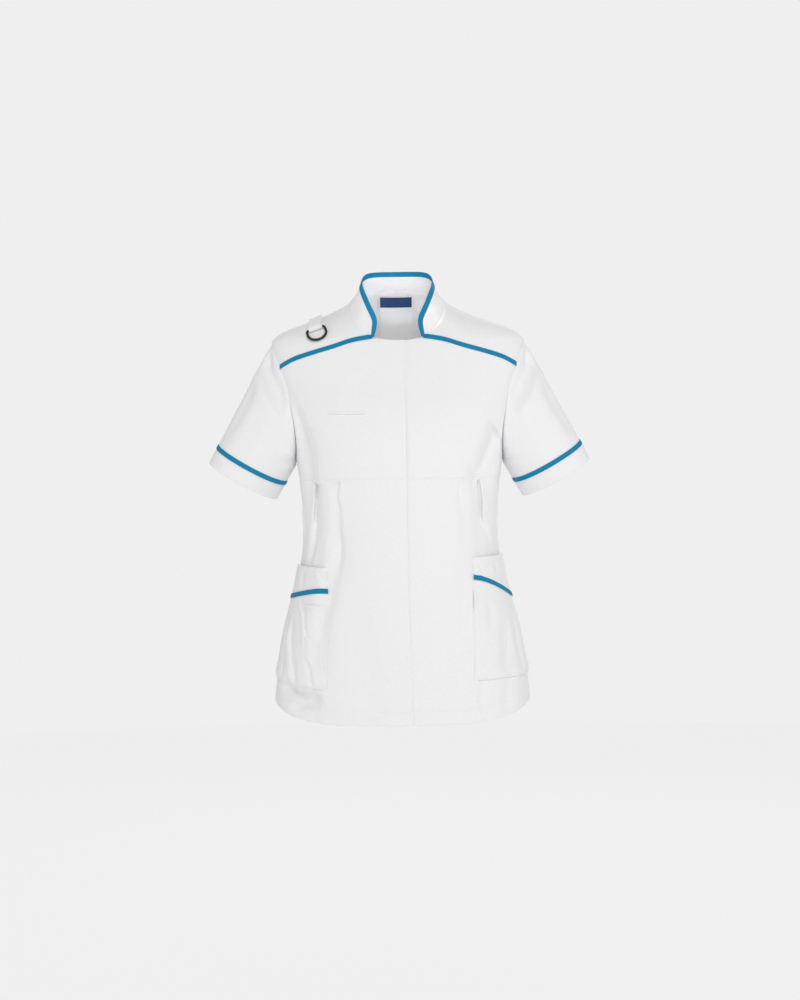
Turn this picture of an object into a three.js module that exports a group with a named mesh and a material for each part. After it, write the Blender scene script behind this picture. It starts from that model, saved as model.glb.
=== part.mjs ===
// Maternity tunic: a short-sleeved, front-opening work tunic, held in its worn shape with no wearer.
// Millimetres. +X is the wearer's left, -Y the front, +Z up.
// The origin is midway between the two shoulder-neck points, where the wearer's shoulders carry it.
import * as THREE from 'three';

// ---------------------------------------------------------------------------------------------
// Driving dimensions
// ---------------------------------------------------------------------------------------------
const CLOTH = 1.2; // wall of one cloth panel
const DOUBLE_CLOTH = 1.6; // wall of a folded band
const SEAM_GAP = 0.3; // space between two pieces at a seam
const LIFT = 0.6; // space under a piece that lies on a panel
const POCKET_LIFT = 0.8; // the same for a pocket, which has a looser fit
const LABEL_LIFT = 1.4; // the same for the neck label, which hangs from its top edge
const TAPE_WIDTH = 7.2; // contrast piping, finished width
const TAPE_THICK = 1.0;

const WAIST_SEAM = -300; // raised waist seam, level all round the front
const HEM_CENTRE = -698.5; // front hem at the centre line
const HEM_RISE = 27; // how much higher the hem is at the side seams
const HEM_POWER = 4.5; // how late the hem turns up towards the side
const BACK_HEM_CENTRE = -684;

const LAP_EDGE = 11.5; // right front's edge, past the centre line
const LAP_EDGE_AT_HEM = 16;
const UNDERLAP = 16; // left front's edge, past the centre line under the right front
const UNDERLAP_DEPTH = 2.1; // how far the underlap lies behind the lap
const UNDERLAP_BLEND = [16, 44]; // distances from the centre line where that step fades out

const NECK = { halfWidth: 80, drop: 70, power: 2.4, backRise: 24, backPower: 1.6 };
const COLLAR_START = 45; // distance of the collar's front end from the centre line
const COLLAR_SEAM_RISE = 1.1; // the collar starts this far above the neckline
const BINDING_THICK = 2.4; // folded tape round the collar's edge

const SHOULDER_TIP = -67; // top of the armhole
const ARMPIT = -270; // bottom of the armhole
const ARMHOLE_FRONT = { depth: 67, lean: 7 };
const ARMHOLE_BACK = { depth: 46, lean: 4 };
const ARMHOLE_START = 1.0; // the sleeve starts this far past the armhole line

const SLEEVE_HEM = {
  centre: [264.7, -12, -298], // wearer's left sleeve
  outward: [56.6, 0, 31.4], // half width, from the centre to the outer edge
  halfDepth: 50,
  dropFront: 8,
  dropBack: -2,
};
const SLEEVE_BAND = 31; // depth of the sleeve hem band
const SLEEVE_FULLNESS = 5;

const COLOUR = {
  cloth: '#f1f3f5',
  piping: '#1489bd',
  plastic: '#17181b',
  navy: '#1c2b57',
  label: '#f4f4f0',
};

// The body the cloth hangs round, as level sections: half width, depth of the front and of the
// back from the side seam, and the power of the section's rounded outline (2 is an ellipse).
const BODY = [
  { z: 24, halfWidth: 64, front: 2, back: 58, power: 2 },
  { z: 0, halfWidth: 80, front: 22, back: 74, power: 2 },
  { z: -10, halfWidth: 100, front: 36, back: 79, power: 2 },
  { z: -20, halfWidth: 122, front: 47, back: 84, power: 2 },
  { z: -30, halfWidth: 148, front: 57, back: 88, power: 2.05 },
  { z: -45, halfWidth: 189, front: 70, back: 93, power: 2.1 },
  { z: -55, halfWidth: 206, front: 78, back: 96, power: 2.15 },
  { z: -67, halfWidth: 215, front: 87, back: 99, power: 2.2 },
  { z: -90, halfWidth: 217, front: 98, back: 104, power: 2.25 },
  { z: -120, halfWidth: 212.5, front: 112, back: 109, power: 2.3 },
  { z: -150, halfWidth: 205, front: 126, back: 113, power: 2.3 },
  { z: -180, halfWidth: 196.5, front: 140, back: 116, power: 2.35 },
  { z: -210, halfWidth: 187.5, front: 151, back: 117, power: 2.35 },
  { z: -240, halfWidth: 179.5, front: 158, back: 115, power: 2.35 },
  { z: -270, halfWidth: 174, front: 160, back: 111, power: 2.35 },
  { z: -300, halfWidth: 169.5, front: 159, back: 106, power: 2.35 },
  { z: -340, halfWidth: 166, front: 158, back: 100, power: 2.3 },
  { z: -380, halfWidth: 165, front: 159, back: 97, power: 2.3 },
  { z: -410, halfWidth: 166, front: 161, back: 98, power: 2.25 },
  { z: -440, halfWidth: 170, front: 164, back: 102, power: 2.25 },
  { z: -480, halfWidth: 180, front: 169, back: 110, power: 2.2 },
  { z: -555, halfWidth: 200, front: 176, back: 124, power: 2.2 },
  { z: -620, halfWidth: 211, front: 179, back: 130, power: 2.2 },
  { z: -672, halfWidth: 216, front: 181, back: 132, power: 2.2 },
  { z: -710, halfWidth: 219, front: 182, back: 133, power: 2.2 },
];

// Yoke seam, from the neckline to the armhole.
const YOKE_SEAM = [
  { x: 40, z: -63.2 },
  { x: 74, z: -69 },
  { x: 108, z: -79.5 },
  { x: 141, z: -88.5 },
  { x: 173, z: -98 },
  { x: 204, z: -112.5 },
];

// Top edge of the collar, from its front end (s = 0) to the centre back (s = 1), wearer's left.
const COLLAR_TOP = [
  { s: 0, x: 41, y: -86.5, z: -61 },
  { s: 0.05, x: 39.4, y: -83.5, z: -52 },
  { s: 0.1, x: 38, y: -79, z: -41.5 },
  { s: 0.17, x: 41, y: -70, z: -28 },
  { s: 0.25, x: 47, y: -58, z: -14 },
  { s: 0.36, x: 54, y: -37, z: 4 },
  { s: 0.48, x: 60, y: -10, z: 22 },
  { s: 0.56, x: 61.5, y: 6, z: 31 },
  { s: 0.66, x: 58, y: 24, z: 43.5 },
  { s: 0.76, x: 48, y: 39, z: 51 },
  { s: 0.87, x: 28, y: 50, z: 54 },
  { s: 1, x: 0, y: 54, z: 54.5 },
];

// Folds of the cloth: angle round the body from the centre line, positive on the wearer's left,
// how far that angle drifts by the lower end, the reach of each flank in degrees, the depth, and
// the heights where the fold is fully open and where it has died away. Pleats open at the seam.
const FOLDS = [
  { face: 'front', angle: -53.5, drift: -1, outer: 2, inner: 9, depth: 6, open: -309, gone: -436 },
  { face: 'front', angle: -31.5, drift: 1, outer: 8, inner: 2.4, depth: 4.5, open: -309, gone: -520 },
  { face: 'front', angle: 50, drift: 3, outer: 2, inner: 9, depth: 6, open: -309, gone: -424 },
  { face: 'front', angle: 31, drift: 2, outer: 8, inner: 2.4, depth: 3.6, open: -309, gone: -470 },
  { face: 'back', angle: -22, drift: 2, outer: 12, inner: 12, depth: 4, open: -370, gone: -640 },
  { face: 'back', angle: 20, drift: -3, outer: 11, inner: 13, depth: 3.5, open: -390, gone: -660 },
  { face: 'back', angle: 52, drift: 2, outer: 10, inner: 9, depth: 3, open: -400, gone: -690 },
  { face: 'back', angle: -54, drift: -2, outer: 10, inner: 9, depth: 3, open: -420, gone: -690 },
];
const FOLD_MOUTH = 6; // height over which a pleat opens below its seam
const SOFT_MOUTH = 90; // the same for a fold that is not sewn

// Hip pockets: angle columns of the patch, heights of its edges at the inner edge and at the side.
const HIP_POCKET = {
  right: { inner: 121.5, top: [-445, -441], tape: [-481.5, -495], bottom: [-641, -630] },
  left: { inner: 116.5, top: [-431, -427], tape: [-462, -498], bottom: [-629, -627] },
};
const POCKET_SIDE_ANGLE = 87; // the pocket stops just short of the side seam
const POCKET_GAPE = 2.4; // how far its mouth stands off the tunic
const PEN_POCKET = { near: 127, far: 157, top: -506, bottom: -634 };
const CHEST_WELT = { near: 50.5, far: 118, top: -186.5, bottom: -194.5 };

const LABEL_THICK = 1;
const NECK_LABEL = { halfWidth: 28, top: 17, split: 0.5, bottom: -62, centre: -2.5 };

const D_RING = {
  wire: 2.3, // radius
  width: 36, // outside, along the bar
  reach: 26.5, // bar axis to the middle of the bow
  corner: 4,
  at: { x: -136.5, z: -50 }, // where the bar's middle lies over the yoke
  barRise: 0.4, // how much the bar rises towards the neck, for each unit along
  lean: -9, // degrees the ring leans from square to the yoke, so that its bow rests there
};
const RING_TAB = { width: 23, thick: 1.2, under: 5 };

// ---------------------------------------------------------------------------------------------
// Small mathematical helpers
// ---------------------------------------------------------------------------------------------
const rad = THREE.MathUtils.degToRad;
const { lerp, clamp } = THREE.MathUtils;

function ease(t) {
  const c = clamp(t, 0, 1);
  return c * c * (3 - 2 * c);
}

// Smooth, monotone curve through one column of a table, read against another.
function curveThrough(rows, from, to) {
  const sorted = [...rows].sort((a, b) => a[from] - b[from]);
  const xs = sorted.map((row) => row[from]);
  const ys = sorted.map((row) => row[to]);
  const last = xs.length - 1;
  const chord = (i) => (ys[i + 1] - ys[i]) / (xs[i + 1] - xs[i]);
  const slopes = xs.map((_, i) => {
    if (i === 0) return chord(0);
    if (i === last) return chord(last - 1);
    const before = chord(i - 1);
    const after = chord(i);
    return before * after <= 0 ? 0 : (2 * before * after) / (before + after);
  });
  return (x) => {
    const at = clamp(x, xs[0], xs[last]);
    let i = 0;
    while (i < last - 1 && at > xs[i + 1]) i += 1;
    const span = xs[i + 1] - xs[i];
    const t = (at - xs[i]) / span;
    const t2 = t * t;
    const t3 = t2 * t;
    return (
      ys[i] * (2 * t3 - 3 * t2 + 1) +
      ys[i + 1] * (3 * t2 - 2 * t3) +
      slopes[i] * span * (t3 - 2 * t2 + t) +
      slopes[i + 1] * span * (t3 - t2)
    );
  };
}

function steps(count) {
  return Array.from({ length: count + 1 }, (_, i) => i / count);
}

// ---------------------------------------------------------------------------------------------
// The body surface: a point is named by its face, its angle round the body and its height
// ---------------------------------------------------------------------------------------------
const halfWidthAt = curveThrough(BODY, 'z', 'halfWidth');
const frontAt = curveThrough(BODY, 'z', 'front');
const backAt = curveThrough(BODY, 'z', 'back');
const powerAt = curveThrough(BODY, 'z', 'power');
const yokeSeamAt = curveThrough(YOKE_SEAM, 'x', 'z');

function angleOf(x, z) {
  const share = clamp(Math.abs(x) / halfWidthAt(z), 0, 1);
  return Math.sign(x) * Math.asin(share ** (powerAt(z) / 2));
}

function bodyPoint(face, angle, z) {
  const power = 2 / powerAt(z);
  const depth = face === 'front' ? -frontAt(z) : backAt(z);
  const x = halfWidthAt(z) * Math.sign(angle) * Math.abs(Math.sin(angle)) ** power;
  const y = depth * Math.abs(Math.cos(angle)) ** power;
  return new THREE.Vector3(x, y, z);
}

// Outward direction, from the slope of the section's outline equation.
function bodyNormal(face, point) {
  const depthAt = face === 'front' ? frontAt : backAt;
  const outline = (z) => {
    const power = powerAt(z);
    return (Math.abs(point.x) / halfWidthAt(z)) ** power + (Math.abs(point.y) / depthAt(z)) ** power;
  };
  const power = powerAt(point.z);
  const across = (value, size) => Math.sign(value) * power * Math.abs(value) ** (power - 1) / size ** power;
  const reach = 1.5;
  return new THREE.Vector3(
    across(point.x, halfWidthAt(point.z)),
    across(point.y, depthAt(point.z)),
    (outline(point.z + reach) - outline(point.z - reach)) / (2 * reach),
  ).normalize();
}

// Depth of all the folds at one place, taken inwards.
function foldDepth(face, angle, z) {
  const degrees = THREE.MathUtils.radToDeg(angle);
  let depth = 0;
  for (const fold of FOLDS) {
    if (fold.face !== face) continue;
    const along = ease((fold.open - z) / (fold.open - fold.gone));
    const mouth = fold.face === 'front' ? FOLD_MOUTH : SOFT_MOUTH;
    const opening = ease((fold.open + mouth - z) / mouth);
    const centre = fold.angle + fold.drift * along;
    const off = (degrees - centre) * Math.sign(fold.angle);
    const reach = off > 0 ? fold.outer : fold.inner;
    depth += fold.depth * opening * (1 - along) * (1 - ease(Math.abs(off) / reach));
  }
  return depth;
}

// A node of a panel's grid: its place on the cloth and the outward direction there.
function clothNode(face, angle, z, lift = 0) {
  const base = bodyPoint(face, angle, z);
  const normal = bodyNormal(face, base);
  const place = base.addScaledVector(normal, lift - foldDepth(face, angle, z));
  return { place, normal };
}

// ---------------------------------------------------------------------------------------------
// Grids and walls
// ---------------------------------------------------------------------------------------------

// Fills the inside of a four-sided region from its edges; each edge is a list of number pairs.
function fillRegion(bottom, top, left, right) {
  const columns = bottom.length;
  const rows = left.length;
  const blend = (i, j, k) => {
    const u = j / (columns - 1);
    const v = i / (rows - 1);
    const ruledUp = lerp(bottom[j][k], top[j][k], v);
    const ruledAcross = lerp(left[i][k], right[i][k], u);
    const corners = lerp(lerp(left[0][k], right[0][k], u), lerp(left[rows - 1][k], right[rows - 1][k], u), v);
    return ruledUp + ruledAcross - corners;
  };
  return left.map((_, i) => bottom.map((__, j) => [blend(i, j, 0), blend(i, j, 1)]));
}

// Pulls the edges of a grid in by half a seam gap.
function pullBack(grid, closed = false, gap = SEAM_GAP / 2) {
  const rows = grid.length - 1;
  const columns = grid[0].length - 1;
  const towards = (node, next) => {
    const way = next.place.clone().sub(node.place).setLength(gap);
    node.place.add(way);
  };
  for (let j = 0; j <= columns; j += 1) {
    towards(grid[0][j], grid[1][j]);
    towards(grid[rows][j], grid[rows - 1][j]);
  }
  if (closed) return grid;
  for (let i = 0; i <= rows; i += 1) {
    towards(grid[i][0], grid[i][1]);
    towards(grid[i][columns], grid[i][columns - 1]);
  }
  return grid;
}

// Gives each place of a grid the outward direction found from its neighbours.
function withNormals(places, closed, outwardFrom) {
  const rows = places.length;
  const columns = places[0].length;
  return places.map((row, i) => row.map((place, j) => {
    const west = closed ? row[(j + columns - 1) % columns] : row[Math.max(j - 1, 0)];
    const east = closed ? row[(j + 1) % columns] : row[Math.min(j + 1, columns - 1)];
    const south = places[Math.max(i - 1, 0)][j];
    const north = places[Math.min(i + 1, rows - 1)][j];
    const normal = east.clone().sub(west).cross(north.clone().sub(south)).normalize();
    if (normal.dot(place.clone().sub(outwardFrom(i))) < 0) normal.negate();
    return { place: place.clone(), normal };
  }));
}

function signedVolume(points, faces) {
  return faces.reduce((sum, [a, b, c]) => sum + points[a].dot(points[b].clone().cross(points[c])), 0) / 6;
}

function meshOf(name, points, faces, colour, roughness) {
  const outward = signedVolume(points, faces) > 0;
  const index = faces.flatMap(([a, b, c]) => (outward ? [a, b, c] : [a, c, b]));
  const geometry = new THREE.BufferGeometry().setFromPoints(points);
  geometry.setIndex(index);
  geometry.computeVertexNormals();
  const material = new THREE.MeshStandardMaterial({ color: colour, roughness, metalness: 0 });
  const mesh = new THREE.Mesh(geometry, material);
  mesh.name = name;
  return mesh;
}

// Closed wall from a grid of nodes: its inner side at the given lift, its outer side one
// thickness further out. A closed wall joins its last column to its first.
function wall(name, grid, { lift = -CLOTH, thick = CLOTH, closed = false, colour = COLOUR.cloth } = {}) {
  const rows = grid.length;
  const columns = grid[0].length;
  const nodes = grid.flat();
  const side = (distance) => nodes.map(({ place, normal }) => place.clone().addScaledVector(normal, distance));
  const points = [...side(lift + thick), ...side(lift)];
  const inner = rows * columns;
  const faces = [];
  const quad = (a, b, c, d) => faces.push([a, b, c], [a, c, d]);
  const at = (i, j) => i * columns + (j % columns);
  const spans = closed ? columns : columns - 1;
  for (let i = 0; i < rows - 1; i += 1) {
    for (let j = 0; j < spans; j += 1) {
      quad(at(i, j), at(i, j + 1), at(i + 1, j + 1), at(i + 1, j));
      quad(inner + at(i, j), inner + at(i + 1, j), inner + at(i + 1, j + 1), inner + at(i, j + 1));
    }
  }
  for (let j = 0; j < spans; j += 1) {
    quad(at(0, j), inner + at(0, j), inner + at(0, j + 1), at(0, j + 1));
    quad(at(rows - 1, j), at(rows - 1, j + 1), inner + at(rows - 1, j + 1), inner + at(rows - 1, j));
  }
  if (!closed) {
    for (let i = 0; i < rows - 1; i += 1) {
      quad(at(i, 0), at(i + 1, 0), inner + at(i + 1, 0), inner + at(i, 0));
      quad(at(i, columns - 1), inner + at(i, columns - 1), inner + at(i + 1, columns - 1), at(i + 1, columns - 1));
    }
  }
  return meshOf(name, points, faces, colour, 0.85);
}

// ---------------------------------------------------------------------------------------------
// Lines that the panels share
// ---------------------------------------------------------------------------------------------
function frontNeckHeight(x) {
  const share = clamp(Math.abs(x) / NECK.halfWidth, 0, 1);
  return -NECK.drop * (1 - share ** NECK.power) ** (1 / NECK.power);
}

function backNeckHeight(x) {
  const share = clamp(Math.abs(x) / NECK.halfWidth, 0, 1);
  return NECK.backRise * Math.sqrt(1 - share * share) ** NECK.backPower;
}

// Armhole, named by a turn from the shoulder tip (0) to the armpit (180 degrees).
function armholeHeight(turn) {
  return lerp(SHOULDER_TIP, ARMPIT, (1 - Math.cos(turn)) / 2);
}

function armholeAngle(face, turn) {
  const { depth, lean } = face === 'front' ? ARMHOLE_FRONT : ARMHOLE_BACK;
  const z = armholeHeight(turn);
  const forward = depth * Math.sin(turn) - lean * Math.sin(2 * turn);
  const share = clamp(forward / (face === 'front' ? frontAt(z) : backAt(z)), 0, 1);
  return Math.acos(share ** (powerAt(z) / 2));
}

const armholePair = (face, turn) => [armholeAngle(face, turn), armholeHeight(turn)];

// Turn at which the yoke seam meets the armhole.
function findYokeTurn() {
  let low = rad(20);
  let high = rad(90);
  for (let i = 0; i < 40; i += 1) {
    const middle = (low + high) / 2;
    const z = armholeHeight(middle);
    const { x } = bodyPoint('front', armholeAngle('front', middle), z);
    if (z > yokeSeamAt(x)) low = middle;
    else high = middle;
  }
  return low;
}

const YOKE_TURN = findYokeTurn();
const YOKE_END_X = bodyPoint('front', ...armholePair('front', YOKE_TURN)).x;
const YOKE_ROWS = 5;
const BODICE_ARMHOLE_ROWS = 9;
const BACK_ARMHOLE_ROWS = 13;
const frontTurns = [
  ...steps(YOKE_ROWS).map((t) => t * YOKE_TURN),
  ...steps(BODICE_ARMHOLE_ROWS).slice(1).map((t) => lerp(YOKE_TURN, Math.PI, t)),
];
const backTurns = steps(BACK_ARMHOLE_ROWS).map((t) => t * Math.PI);

// Height of the shoulder line at a distance from the centre line.
function shoulderHeight(x) {
  let low = SHOULDER_TIP;
  let high = 0;
  for (let i = 0; i < 40; i += 1) {
    const middle = (low + high) / 2;
    if (halfWidthAt(middle) > x) low = middle;
    else high = middle;
  }
  return low;
}

// Even steps along the shoulder line that come closer together where it rounds off at the tip.
function shoulderX(share, tipX) {
  return lerp(NECK.halfWidth, tipX, Math.sin(rad(90) * share));
}

function hemHeight(angle, centre = HEM_CENTRE) {
  const side = HEM_CENTRE + HEM_RISE;
  const share = Math.abs(Math.sin(angle));
  return centre + (side - centre) * share ** HEM_POWER;
}

function lapEdge(z) {
  return lerp(LAP_EDGE, LAP_EDGE_AT_HEM, ease((z + 430) / (HEM_CENTRE + 430)));
}

// Distance of a front's free edge past the centre line, as an angle on the other side.
function frontEdgeAngle(side, z) {
  return angleOf(-(side === 'right' ? lapEdge(z) : UNDERLAP), z);
}

// ---------------------------------------------------------------------------------------------
// Fronts, yokes and back
// ---------------------------------------------------------------------------------------------
const signOf = (side) => (side === 'right' ? -1 : 1);

// Node on a front panel. The angle grows towards the side seam; the left front steps back under
// the lap near the centre line.
function frontNode(side, angle, z, lift = 0) {
  const node = clothNode('front', signOf(side) * angle, z, lift);
  if (side === 'left') {
    const fade = ease((node.place.x - UNDERLAP_BLEND[0]) / (UNDERLAP_BLEND[1] - UNDERLAP_BLEND[0]));
    node.place.addScaledVector(node.normal, -UNDERLAP_DEPTH * (1 - fade));
  }
  return node;
}

function pleatAngles(side) {
  const ownFolds = FOLDS.filter((fold) => fold.face === 'front' && Math.sign(fold.angle) === signOf(side));
  return ownFolds.flatMap((fold) => {
    const centre = Math.abs(fold.angle);
    return [-fold.inner, -fold.inner / 2, 0, fold.outer / 2, fold.outer].map((off) => centre + off);
  });
}

// Column angles of a skirt: even ones, and closer ones across each pleat.
function skirtColumns(side) {
  const pleats = pleatAngles(side);
  const even = [0, 9, 18, 40, 64, 72, 80, 90].filter((angle) => pleats.every((p) => Math.abs(p - angle) > 2));
  const columns = [...even, ...pleats].sort((a, b) => a - b);
  return columns.filter((angle, i) => i === 0 || angle - columns[i - 1] > 0.9).map(rad);
}

const SKIRT_ROWS = [0, 0.016, 0.045, 0.09, 0.15, 0.22, 0.3, 0.4, 0.52, 0.64, 0.76, 0.88, 1];

function frontSkirt(side) {
  const columns = skirtColumns(side);
  const grid = SKIRT_ROWS.map((share) => {
    const heights = (angle) => lerp(WAIST_SEAM, hemHeight(angle), share);
    const edge = frontEdgeAngle(side, heights(0));
    return [edge, ...columns].map((angle) => frontNode(side, angle, heights(angle)));
  });
  return wall(`front_skirt_${side}`, pullBack(grid));
}

// Bodice front: waist seam to neckline and yoke seam, centre edge to side seam and armhole.
function bodiceFront(side) {
  const neckX = [0, COLLAR_START / 2];
  const seamX = steps(11).map((share) => lerp(COLLAR_START, YOKE_END_X, share));
  const topEdge = [
    [side === 'right' ? -LAP_EDGE : -UNDERLAP, frontNeckHeight(0)],
    ...neckX.map((x) => [x, frontNeckHeight(x)]),
    ...seamX.map((x) => [x, yokeSeamAt(x)]),
  ];
  const top = topEdge.map(([x, z]) => [angleOf(x, z), z]);
  const columns = top.length;
  const bottom = top.map((_, j) => {
    if (j === 0) return [frontEdgeAngle(side, WAIST_SEAM), WAIST_SEAM];
    return [rad(90) * ((j - 1) / (columns - 2)) ** 0.95, WAIST_SEAM];
  });
  const sideSeam = [0, 0.5].map((share) => [rad(90), lerp(WAIST_SEAM, ARMPIT, share)]);
  const armhole = [...frontTurns].reverse().filter((turn) => turn > YOKE_TURN - 1e-6);
  const right = [...sideSeam, ...armhole.map((turn) => armholePair('front', turn))];
  top[columns - 1] = right[right.length - 1];
  const left = right.map((_, i) => {
    const z = lerp(WAIST_SEAM, top[0][1], i / (right.length - 1));
    return [frontEdgeAngle(side, z), z];
  });
  left[left.length - 1] = top[0];
  const region = fillRegion(bottom, top, left, right);
  const grid = region.map((row) => row.map(([angle, z]) => frontNode(side, angle, z)));
  return wall(`bodice_front_${side}`, pullBack(grid));
}

// Yoke: yoke seam up to the shoulder line, neckline to armhole.
function yoke(side) {
  const columns = 12;
  const tipX = bodyPoint('front', ...armholePair('front', 0)).x;
  const bottom = steps(columns).map((share) => {
    const x = lerp(COLLAR_START, YOKE_END_X, share);
    return [angleOf(x, yokeSeamAt(x)), yokeSeamAt(x)];
  });
  const top = steps(columns).map((share) => [rad(90), shoulderHeight(shoulderX(share, tipX))]);
  const right = frontTurns.slice(0, YOKE_ROWS + 1).reverse().map((turn) => armholePair('front', turn));
  const startTurn = Math.asin((COLLAR_START / NECK.halfWidth) ** (NECK.power / 2));
  const left = steps(YOKE_ROWS).map((share) => {
    const turn = lerp(startTurn, rad(90), share);
    const x = NECK.halfWidth * Math.sin(turn) ** (2 / NECK.power);
    const z = frontNeckHeight(x);
    return [angleOf(x, z), z];
  });
  bottom[0] = left[0];
  bottom[columns] = right[0];
  left[YOKE_ROWS] = top[0];
  right[YOKE_ROWS] = top[columns];
  const grid = fillRegion(bottom, top, left, right).map((row) => (
    row.map(([angle, z]) => clothNode('front', signOf(side) * angle, z))
  ));
  return wall(`yoke_${side}`, pullBack(grid));
}

// Back: one panel from hem to shoulder lines and back neckline.
function backPanel() {
  const half = 13;
  const tipX = bodyPoint('back', ...armholePair('back', 0)).x;
  const topX = [0, 0.2, 0.4, 0.6, 0.8, 1].map((share) => share * NECK.halfWidth);
  const shoulderShares = steps(half + 1 - topX.length).slice(1);
  const top = [
    ...topX.map((x) => [angleOf(x, backNeckHeight(x)), backNeckHeight(x)]),
    ...shoulderShares.map((share) => [rad(90), shoulderHeight(shoulderX(share, tipX))]),
  ];
  top[topX.length - 1] = [rad(90), 0];
  const columns = top.length;
  const bottomAngles = top.map((_, j) => rad(90) * (j / (columns - 1)) ** 1.05);
  const bottom = bottomAngles.map((angle) => [angle, hemHeight(angle, BACK_HEM_CENTRE)]);
  const lowRows = steps(11).slice(0, -1);
  const right = [
    ...lowRows.map((share) => [rad(90), lerp(HEM_CENTRE + HEM_RISE, ARMPIT, share)]),
    ...[...backTurns].reverse().map((turn) => armholePair('back', turn)),
  ];
  const left = right.map((pair, i) => {
    if (i <= lowRows.length) return [0, lerp(BACK_HEM_CENTRE, ARMPIT, i / lowRows.length)];
    return [0, lerp(ARMPIT, NECK.backRise, (i - lowRows.length) / (right.length - 1 - lowRows.length))];
  });
  top[columns - 1] = right[right.length - 1];
  const rightHalf = fillRegion(bottom, top, left, right);
  const grid = rightHalf.map((row) => {
    const mirrored = row.slice(1).reverse().map(([angle, z]) => clothNode('back', -angle, z));
    return [...mirrored, ...row.map(([angle, z]) => clothNode('back', angle, z))];
  });
  return wall('back', pullBack(grid));
}

// ---------------------------------------------------------------------------------------------
// Sleeves
// ---------------------------------------------------------------------------------------------
// The rows of a sleeve run straight from the armhole to the hem, so a place on it is named by
// its turn round the sleeve and by its distance from either end.
function sleeveRails(side) {
  const mirror = signOf(side);
  const { centre, outward, halfDepth, dropFront, dropBack } = SLEEVE_HEM;
  const outerWay = new THREE.Vector3(...outward);
  const along = new THREE.Vector3(outward[2], 0, -outward[0]).normalize();
  const around = [
    ...frontTurns.map((turn) => ({ face: 'front', turn })),
    ...backTurns.slice(1, -1).reverse().map((turn) => ({ face: 'back', turn })),
  ];
  return around.map(({ face, turn }) => {
    const forward = face === 'front' ? -1 : 1;
    const start = bodyPoint(face, ...armholePair(face, turn));
    const drop = face === 'front' ? dropFront : dropBack;
    const end = new THREE.Vector3(...centre)
      .addScaledVector(outerWay, Math.cos(turn))
      .addScaledVector(along, drop * Math.sin(turn));
    end.y += forward * halfDepth * Math.sin(turn);
    start.x *= mirror;
    end.x *= mirror;
    const length = start.distanceTo(end);
    const way = end.clone().sub(start).normalize();
    const bow = new THREE.Vector3(0, forward * Math.sin(turn) * SLEEVE_FULLNESS, 0);
    const placeAt = (distance) => {
      const share = distance / length;
      const lift = 4 * share * (1 - share);
      return start.clone().addScaledVector(way, distance).addScaledVector(bow, lift);
    };
    return { length, placeAt };
  });
}

// Ring rows between two distances, each measured from the armhole or back from the hem.
function sleeveGrid(side, rows, distanceFor) {
  const rails = sleeveRails(side);
  const places = steps(rows).map((share) => rails.map((rail) => rail.placeAt(distanceFor(rail.length, share))));
  const middles = places.map((ring) => (
    ring.reduce((sum, place) => sum.add(place), new THREE.Vector3()).divideScalar(ring.length)
  ));
  return withNormals(places, true, (i) => middles[i]);
}

function sleeveParts(side) {
  const upper = sleeveGrid(side, 7, (length, share) => lerp(ARMHOLE_START, length - SLEEVE_BAND, share));
  const band = sleeveGrid(side, 1, (length, share) => length - SLEEVE_BAND * (1 - share));
  const tape = sleeveGrid(side, 1, (length, share) => length - SLEEVE_BAND + TAPE_WIDTH * (share - 0.5));
  return [
    wall(`sleeve_${side}`, pullBack(upper, true), { closed: true }),
    wall(`sleeve_hem_band_${side}`, pullBack(band, true), { closed: true }),
    wall(`sleeve_piping_${side}`, tape, { closed: true, lift: LIFT, thick: TAPE_THICK, colour: COLOUR.piping }),
  ];
}

// ---------------------------------------------------------------------------------------------
// Collar and its binding
// ---------------------------------------------------------------------------------------------
const collarTop = ['x', 'y', 'z'].map((axis) => curveThrough(COLLAR_TOP, 's', axis));

// Neckline of the wearer's left half, evenly spaced from the collar's front end to the back.
function necklineCurve() {
  const startTurn = Math.asin((COLLAR_START / NECK.halfWidth) ** (NECK.power / 2));
  const front = steps(24).map((share) => {
    const x = NECK.halfWidth * Math.sin(lerp(startTurn, rad(90), share)) ** (2 / NECK.power);
    const z = frontNeckHeight(x);
    return bodyPoint('front', angleOf(x, z), z);
  });
  const back = steps(24).slice(1).map((share) => {
    const x = NECK.halfWidth * Math.cos(rad(90) * share);
    const z = backNeckHeight(x);
    return bodyPoint('back', angleOf(x, z), z);
  });
  return new THREE.CatmullRomCurve3([...front, ...back]);
}

// Columns of the collar from the right front end round the back to the left front end.
function collarColumns(count) {
  const neckline = necklineCurve();
  const half = steps(count).map((s) => {
    const low = neckline.getPointAt(s);
    const high = new THREE.Vector3(...collarTop.map((curve) => curve(s)));
    return { low, high };
  });
  const mirror = ({ low, high }) => ({
    low: new THREE.Vector3(-low.x, low.y, low.z),
    high: new THREE.Vector3(-high.x, high.y, high.z),
  });
  return [...half.map(mirror), ...half.slice(0, -1).reverse()];
}

// Each column with the direction across the binding there, square to the collar's top edge.
function withBindingWay(columns) {
  return columns.map(({ low, high }, j) => {
    const before = columns[Math.max(j - 1, 0)].high;
    const after = columns[Math.min(j + 1, columns.length - 1)].high;
    const tangent = after.clone().sub(before).normalize();
    const across = high.clone().sub(low);
    across.addScaledVector(tangent, -across.dot(tangent)).normalize();
    return { low, high, across };
  });
}

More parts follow.
